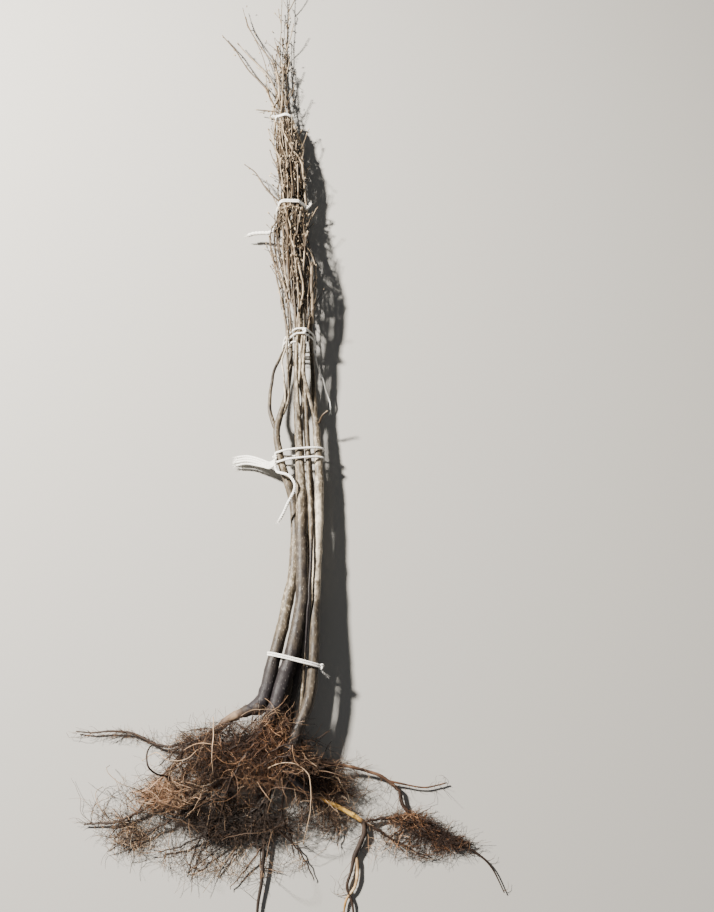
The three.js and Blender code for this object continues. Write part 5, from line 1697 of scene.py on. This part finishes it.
def twisted_string(path, width, closed=False):
    """Plies wound round a path."""
    lengths = np.linalg.norm(np.diff(path, axis=0), axis=1)
    marks = np.concatenate([[0], np.cumsum(lengths)])
    count = max(12, int(marks[-1] / STRING_STEP))
    places = np.linspace(0, marks[-1], count)
    line = np.stack([np.interp(places, marks, path[:, n]) for n in range(3)], axis=1)
    way = unit(np.gradient(line, axis=0))
    side = unit(np.cross(way, np.array([0.12, 0.93, 0.35]) if closed else np.array([0.1, 0.2, 1.0])))
    up = np.cross(way, side)
    turns = max(1, round(marks[-1] / (width * TWIST)))
    angle = 2 * math.pi * turns * places / marks[-1]
    plies = []
    for k in range(PLIES):
        phase = angle + 2 * math.pi * k / PLIES
        offset = (side * np.cos(phase)[:, None] + up * np.sin(phase)[:, None]) * width * PLY_OUT
        rows = np.hstack([line + offset, np.full((count, 1), width * PLY_WIDTH)])
        plies.append((rows[:-1] if closed else rows, 0.5, 0.0))
    return plies


def knot_line(knot):
    """A closed trefoil round a knot's middle."""
    turn = np.linspace(0, 2 * math.pi, KNOT_POINTS, endpoint=False)
    curl = np.stack([np.sin(turn) + 2 * np.sin(2 * turn), np.cos(turn) - 2 * np.cos(2 * turn),
                     -1.4 * np.sin(3 * turn)], axis=1) * KNOT_SIZE + knot
    return np.hstack([curl, np.full((KNOT_POINTS, 1), KNOT_WIDTH)]), 0.5, 0.0


def string_tail(points, width, share, rng):
    """A loose end of string with frayed threads."""
    points[:, 2] = np.maximum(points[:, 2], 1.6)
    path = curve_through(points, 2)
    lines = twisted_string(path, width * share)
    way = unit((path[-1] - path[-2])[None])[0]
    for _ in range(round(FRAYS * share)):
        head = unit((way + rng.normal(0, 0.35, 3))[None])[0]
        t = np.linspace(0, 1, 4)[:, None]
        fray = path[-1] + head * t * rng.uniform(*FRAY_LENGTH) + np.array([0, 0, -2.0]) * t * t
        fray[:, 2] = np.maximum(fray[:, 2], 0.6)
        lines.append((np.hstack([fray, 0.8 - 0.4 * t]), 0.5, 0.0))
    return lines


# Seeds of each group's small differences
LOOK_SEEDS = {"stems": 11, "crown": 12, "buds": 13, "woody_roots": 14, "fine_roots": 15, "ties": 16}


def dice(group):
    return np.random.default_rng(LOOK_SEEDS[group])


# Operators, one for each group of pieces

class SAPLING_OT_stems(bpy.types.Operator):
    """Five stems and the low left bough, with the relief of young bark"""
    bl_idname = "sapling.stems"
    bl_label = "Stems"

    def with_collar(self, node, rows):
        """The stem's rows, carried on over the start of its woody root."""
        for root, (parent, at, _) in ROOTS.items():
            if parent == node and at == "cut":
                start = bundle().limbs[root][2:6].copy()
                start[:, 3] *= np.linspace(1.1, 0.6, len(start))
                return np.vstack([start[::-1], rows])
        if node == "bough_left":
            return np.vstack([BOUGH_FOOT, rows[2:]])
        return rows

    def execute(self, context):
        sizes = context.scene.sapling_sizes
        wood = bark_material("young_bark", context.scene.sapling_colours)
        rng = dice("stems")
        relief = (sizes.bark_relief, BARK_RELIEF_SIZE)
        for node, rows in bundle().stems.items():
            places, tones, damps_and_painted_shade = np.array(STEM_LOOKS[node], dtype=float).T
            fine = swollen(slimmed(self.with_collar(node, rows)), sizes.ring_step, rng, "stem")
            y = fine[:, 1]
            fine[:, 3] *= 1 + STEM_SWELL.get(node, 0) * np.interp(y, *FULL_STEMS)
            if node == "stem_slender":
                fine[:, 3] *= np.interp(y, *HIDDEN_STEM)
            tone = np.clip(stem_tone(fine, rng, 0, 0.08, -1) + np.interp(y, places, tones), 0, 1)
            lines = [(fine, tone, np.interp(y, places, damps_and_painted_shade))]
            bark = limbs_object("bark_" + node, lines, wood, sizes.bark_sides, *relief)
            settle(bark, "bark", node)
        forked = [(swollen(rows, 3, rng, "fork"), tone, 0.0) for tone, rows in bundle().forked]
        limbs = limbs_object("forked_limbs", forked, wood, 12, *relief)
        settle(limbs, "bark", "stem_left", "stem_centre", "stem_under", "stem_right")
        return {"FINISHED"}


class SAPLING_OT_crown(bpy.types.Operator):
    """Strands, twigs and spurs of the crowns"""
    bl_idname = "sapling.crown"
    bl_label = "Crown Twigs"

    def shoot_tone(self, rows, rng, middle):
        """A strand's tone, paler above the top tie."""
        return np.clip(stem_tone(rows, rng, middle, 0.08) + np.interp(rows[:, 1], *PALE_ENDS), 0, 1)

    def execute(self, context):
        wood = twig_material("twig_wood", context.scene.sapling_colours)
        rows = bundle()
        rng = dice("crown")
        nodes = sorted({node for node, _ in rows.strands})
        strands = []
        for node, line in rows.strands:
            fine = swollen(slimmed(line), 7, rng, "strand")
            if not node.endswith(("leader", "left")):
                fine[:, 3] *= np.interp(fine[:, 1], *LOOSE_ENDS)
            strands.append((fine, self.shoot_tone(fine, rng, dealt(rng, *STRAND_TONES)), 0.0))
        for _, line in rows.fine_strands:
            fine = swollen(slimmed(line), 7, rng, "thin strand")
            strands.append((fine, self.shoot_tone(fine, rng, dealt(rng, *THIN_STRAND_TONES)), 0.0))
        for tone, line in rows.upper:
            fine = swollen(line, 5, rng, "upper twig")
            strands.append((fine, stem_tone(fine, rng, tone * 0.8, 0.1), 0.0))
        settle(limbs_object("crown_strands", strands, wood, 7), "twigs", *nodes)
        twigs = []
        for node, line in rows.twigs:
            if node != "twig_low":
                twigs.append((swollen(line, 5, rng, "side twig"), rng.uniform(0.3, 0.8), 0.0))
        for line in rows.fine_twigs:
            if line[0, 1] <= CROWN_TOP or rng.random() >= SPURS_LEFT_OUT:
                twigs.append((line, dealt(rng, *SPUR_TONES), 0.0))
        settle(limbs_object("crown_side_twigs", twigs, wood, 5), "twigs", *nodes)
        low = [(swollen(line, 4, rng, "low twig") * np.array([1, 1, 1, 1.3]), 0.45, 0.0)
               for node, line in rows.twigs if node == "twig_low"]
        settle(limbs_object("low_side_twig", low, wood, 8), "twigs", "twig_low")
        return {"FINISHED"}


class SAPLING_OT_buds(bpy.types.Operator):
    """Buds on the twigs' ends and along the strands"""
    bl_idname = "sapling.buds"
    bl_label = "Buds"

    def execute(self, context):
        rows = bundle()
        rng = dice("buds")
        places, ways, sizes = [], [], []
        for line in rows.fine_twigs + [line for _, line in rows.twigs]:
            way = line[-1, :3] - line[-2, :3]
            places.append(line[-1, :3] - way / np.linalg.norm(way) * 0.6)
            ways.append(way)
            sizes.append(rng.uniform(0.75, 1.2))
        for _, line in rows.strands + rows.fine_strands + rows.upper:
            fine = curve_through(line, 14)
            for i in range(2, len(fine) - 1, 2):
                way = unit((fine[i + 1] - fine[i])[None, :3])[0]
                side = unit(np.cross(way, rng.normal(size=3))[None])[0]
                places.append(fine[i, :3] + side * fine[i, 3] * 0.42)
                ways.append(way * 0.8 + side * 0.6)
                sizes.append(rng.uniform(0.6, 1.05))
        mesh = bpy.data.meshes.new("crown_buds")
        mesh.from_pydata([Vector(place) * MM for place in places], [], [])
        add_attribute(mesh, "size", np.array(sizes, dtype=np.float32) * MM)
        add_attribute(mesh, "way", np.array(ways))
        add_attribute(mesh, "tone", rng.uniform(0.5, 1.0, len(places)))
        obj = bpy.data.objects.new("crown_buds", mesh)
        context.scene.collection.objects.link(obj)
        grow(obj, group_once("Buds On Points", bud_tree), {
            "Bud Size": context.scene.sapling_sizes.bud_size, "Bud Skin": bpy.data.materials["twig_wood"]})
        settle(obj, "twigs", *sorted({node for node, _ in rows.strands}))
        return {"FINISHED"}


class SAPLING_OT_woody_roots(bpy.types.Operator):
    """Woody roots from the collars outwards"""
    bl_idname = "sapling.woody_roots"
    bl_label = "Woody Roots"

    def execute(self, context):
        colours = context.scene.sapling_colours
        skins = {
            "rusty": root_material("root_skin", colours, colours.root_rusty, 130.0, 900.0, 0.0007),
            "yellow": root_material("golden_root_skin", colours, colours.root_yellow, 130.0, 900.0, 0.0007),
        }
        rows = bundle()
        rng = dice("woody_roots")
        for node, (parent, at, _) in ROOTS.items():
            line = rows.limbs[node]
            if at == "cut":
                inner, further = rows.limbs[parent][:2]
                inner = np.append(mix(inner[:3], further[:3], 0.25), inner[3] * 0.9)
                line = np.vstack([inner, line])
            self.wood(node, [line], ROOT_LOOKS[node], skins, rng)
            forks = [fork_rows for fork, fork_rows in rows.forks if fork == node]
            if forks:
                self.wood(node, forks, FORK_LOOKS[node], skins, rng, "_fork")
        return {"FINISHED"}

    def wood(self, node, paths, look, skins, rng, ending=""):
        skin, stops = look
        places, tones, tints = np.array(stops, dtype=float).T
        lines = []
        for path in paths:
            fine = swollen(path, 2.5, rng, "root")
            share = np.linspace(0, 1, len(fine))
            fine[:, 3] *= 1 + WOOD_SWELL.get(node, 0) * np.sin(math.pi * share)
            tone = stem_tone(fine, rng, 0, 0.09, -1) + np.interp(share, places, tones)
            lines.append((fine, np.clip(tone, 0, 1), np.interp(share, places, tints)))
        wood = limbs_object("wood_" + node + ending, lines, skins[skin], 14, *ROOT_RELIEF)
        settle(wood, "root_bark", node)


class SAPLING_OT_fine_roots(bpy.types.Operator):
    """Coarse, thin and hair roots of the six fibrous masses"""
    bl_idname = "sapling.fine_roots"
    bl_label = "Fine Roots"

    def grown(self, rng, sizes):
        """Lines of every order, each grown from those before it."""
        rows = bundle()
        fibres = [curve_through(line, 6) for line in rows.mains]
        lines = {
            "woody": [curve_through(rows.limbs[node], 6) for node in ROOTS],
            "collars": [curve_through(stem[:2], 6)[:4] for node, stem in rows.stems.items()
                        if node != "bough_left"],
            "forks": [curve_through(line, 6) for _, line in rows.forks],
            "fibres": fibres,
            "lone": [lone_root(rng, thick, points) for _, thick, points in LONE_ROOTS],
            "mains": fibres + [guide_root(rng, *guide) for guide in GUIDE_ROOTS],
        }
        for order, (parents, shape) in ROOT_ORDERS.items():
            paths = [path for parent in parents for path in lines[parent]]
            lines[order] = branch(rng, paths, getattr(sizes, order + "_roots"), **shape)
        return lines

    def execute(self, context):
        colours = context.scene.sapling_colours
        skin = root_material("root_fibre", colours, colours.root_rusty, 60.0, 1500.0, 0.0002)
        rng = dice("fine_roots")
        grown = self.grown(rng, context.scene.sapling_sizes)
        sorted_lines = {node: {} for node in FIBRES}
        for order, (sides, tone, spread, rust) in ORDER_LOOKS.items():
            lines = grown[order]
            home, _ = nearest_space(np.stack([line[len(line) // 2, :3] for line in lines]))
            tones, rusts = looks_of(rng, lines, tone, spread, rust)
            if order == "lone":
                tones = [look[0] for look in LONE_ROOTS]
                rusts = rusts * 0.5
            for line, room, own_tone, own_rust in zip(lines, home, tones, rusts):
                by_sides = sorted_lines[SPACE_NODES[room]]
                by_sides.setdefault(sides, []).append((line, own_tone, own_rust))
        for node, by_sides in sorted_lines.items():
            for sides, lines in sorted(by_sides.items()):
                for n, group in enumerate(parcels(lines, sides)):
                    name = "{}_{}_{}".format(node, sides, n + 1)
                    settle(limbs_object(name, group, skin, sides), "root_fibres", node)
        return {"FINISHED"}


class SAPLING_OT_ties(bpy.types.Operator):
    """Five string ties with their knots and tails"""
    bl_idname = "sapling.ties"
    bl_label = "Ties"

    def sagging(self, ring, sag):
        """A ring whose sides hang back towards the roots."""
        high = (ring[:, 2] - ring[:, 2].min()) / np.ptp(ring[:, 2])
        return ring - np.outer(sag * (1 - high) ** 1.3, [0, 1, 0])

    def execute(self, context):
        width = context.scene.sapling_sizes.string_width
        string = string_material("pale_string", context.scene.sapling_colours)
        rng = dice("ties")
        for node, (y, _, _, side) in TIES.items():
            share, shifts, sag = TIE_STRING[node]
            rings = [self.sagging(ring, sag) for ring in bundle().rings[node]]
            loops = []
            for ring in rings:
                closed = curve_through(np.vstack([ring, ring[:1]]), 3)
                for shift in shifts:
                    loops += twisted_string(closed + np.array([0, shift, 0]), width * share, closed=True)
            settle(limbs_object(node + "_loops", loops, string, 6, closed=True), "string", node)
            ends = [ring[np.argmax(ring @ KNOT_WAYS[side])] for ring in rings]
            middle = np.mean(ends, axis=0)
            centre = (8, 34) if y < -100 else bundle_at(y)[1:3]
            away = np.array([middle[0] - centre[0], 0, middle[2] - centre[1]])
            knot = middle + away / np.linalg.norm(away) * 1.6
            settle(limbs_object(node + "_knot", [knot_line(knot)], string, 7, closed=True), "string", node)
            tails = []
            if len(ends) > 1:
                tails += twisted_string(curve_through([ends[0], knot, ends[1]], 2), width * share)
            for tail_share, points in TIE_TAILS.get(node, []):
                tails += string_tail(np.array(points, dtype=float) + knot, width, tail_share, rng)
            if tails:
                settle(limbs_object(node + "_tails", tails, string, 6), "string", node)
        return {"FINISHED"}


# Studio: floor, lights with their place, size and power, the air, and the photo's camera
FLOOR_REACH = 6.0
FLOOR_HEIGHT = -0.0015
LIGHTS = {"key": ((-1.9, 0.8, 1.95), 0.25, 530.0), "fill": ((0.6, -0.4, 2.6), 2.6, 5.0)}
LIGHT_COLOUR = (1.0, 0.95, 0.87)
AIR_COLOUR = (0.86, 0.92, 1.0, 1.0)
AIR_STRENGTH = 0.13
CAMERA_PLACE = (0.097, -0.670, 1.070)
CAMERA_TILT = math.radians(22.0)
SENSOR = 36.0
LENS = 702.0 / 912.0 * SENSOR


class SAPLING_OT_studio(bpy.types.Operator):
    """Pale floor, soft lights and the camera"""
    bl_idname = "sapling.studio"
    bl_label = "Studio"

    def execute(self, context):
        scene = context.scene
        mesh = bpy.data.meshes.new("studio_floor")
        sides = ((-1, -1), (1, -1), (1, 1), (-1, 1))
        corners = [(x * FLOOR_REACH, y * FLOOR_REACH, FLOOR_HEIGHT) for x, y in sides]
        mesh.from_pydata(corners, [], [(0, 1, 2, 3)])
        floor = bpy.data.objects.new("studio_floor", mesh)
        scene.collection.objects.link(floor)
        material, tree = new_material("studio_floor")
        set_inputs(tree, tree.nodes["Principled BSDF"], {
            "Base Color": (*scene.sapling_colours.floor, 1.0), "Roughness": 0.9, "Specular IOR Level": 0.1})
        mesh.materials.append(material)
        for name, (place, size, power) in LIGHTS.items():
            light = bpy.data.lights.new(name, "AREA")
            light.size = size
            light.energy = power
            light.color = LIGHT_COLOUR
            lamp = bpy.data.objects.new(name, light)
            lamp.location = place
            lamp.rotation_euler = (-Vector(place)).to_track_quat("-Z", "Y").to_euler()
            scene.collection.objects.link(lamp)
        world = bpy.data.worlds.new("studio_air")
        world.use_nodes = True
        air = world.node_tree.nodes["Background"]
        set_inputs(world.node_tree, air, {"Color": AIR_COLOUR, "Strength": AIR_STRENGTH})
        scene.world = world
        lens = bpy.data.cameras.new("camera")
        lens.sensor_width = SENSOR
        lens.lens = LENS
        camera = bpy.data.objects.new("camera", lens)
        camera.location = CAMERA_PLACE
        camera.rotation_euler = (CAMERA_TILT, 0.0, 0.0)
        scene.collection.objects.link(camera)
        scene.camera = camera
        return {"FINISHED"}


class SAPLING_PT_panel(bpy.types.Panel):
    """Lists the bundle's pieces and what can be changed"""
    bl_idname = "SAPLING_PT_panel"
    bl_label = "Sapling Bundle"
    bl_space_type = "VIEW_3D"
    bl_region_type = "UI"
    bl_category = "Saplings"

    def draw(self, context):
        layout = self.layout
        for operator in OPERATORS:
            layout.operator(operator.bl_idname)
        for group in (context.scene.sapling_sizes, context.scene.sapling_colours):
            box = layout.box()
            for name in group.__annotations__:
                box.prop(group, name)


OPERATORS = (SAPLING_OT_studio, SAPLING_OT_stems, SAPLING_OT_crown, SAPLING_OT_buds, SAPLING_OT_woody_roots,
             SAPLING_OT_fine_roots, SAPLING_OT_ties)
CLASSES = (SaplingSizes, SaplingColours) + OPERATORS + (SAPLING_PT_panel,)


def register():
    for item in CLASSES:
        bpy.utils.register_class(item)
    bpy.types.Scene.sapling_sizes = PointerProperty(type=SaplingSizes)
    bpy.types.Scene.sapling_colours = PointerProperty(type=SaplingColours)


def unregister():
    del bpy.types.Scene.sapling_colours
    del bpy.types.Scene.sapling_sizes
    for item in reversed(CLASSES):
        bpy.utils.unregister_class(item)


def main():
    register()
    for operator in (bpy.ops.sapling.studio, bpy.ops.sapling.stems, bpy.ops.sapling.crown,
                     bpy.ops.sapling.buds, bpy.ops.sapling.woody_roots, bpy.ops.sapling.fine_roots,
                     bpy.ops.sapling.ties):
        operator()
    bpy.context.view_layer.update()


if __name__ == "__main__":
    main()
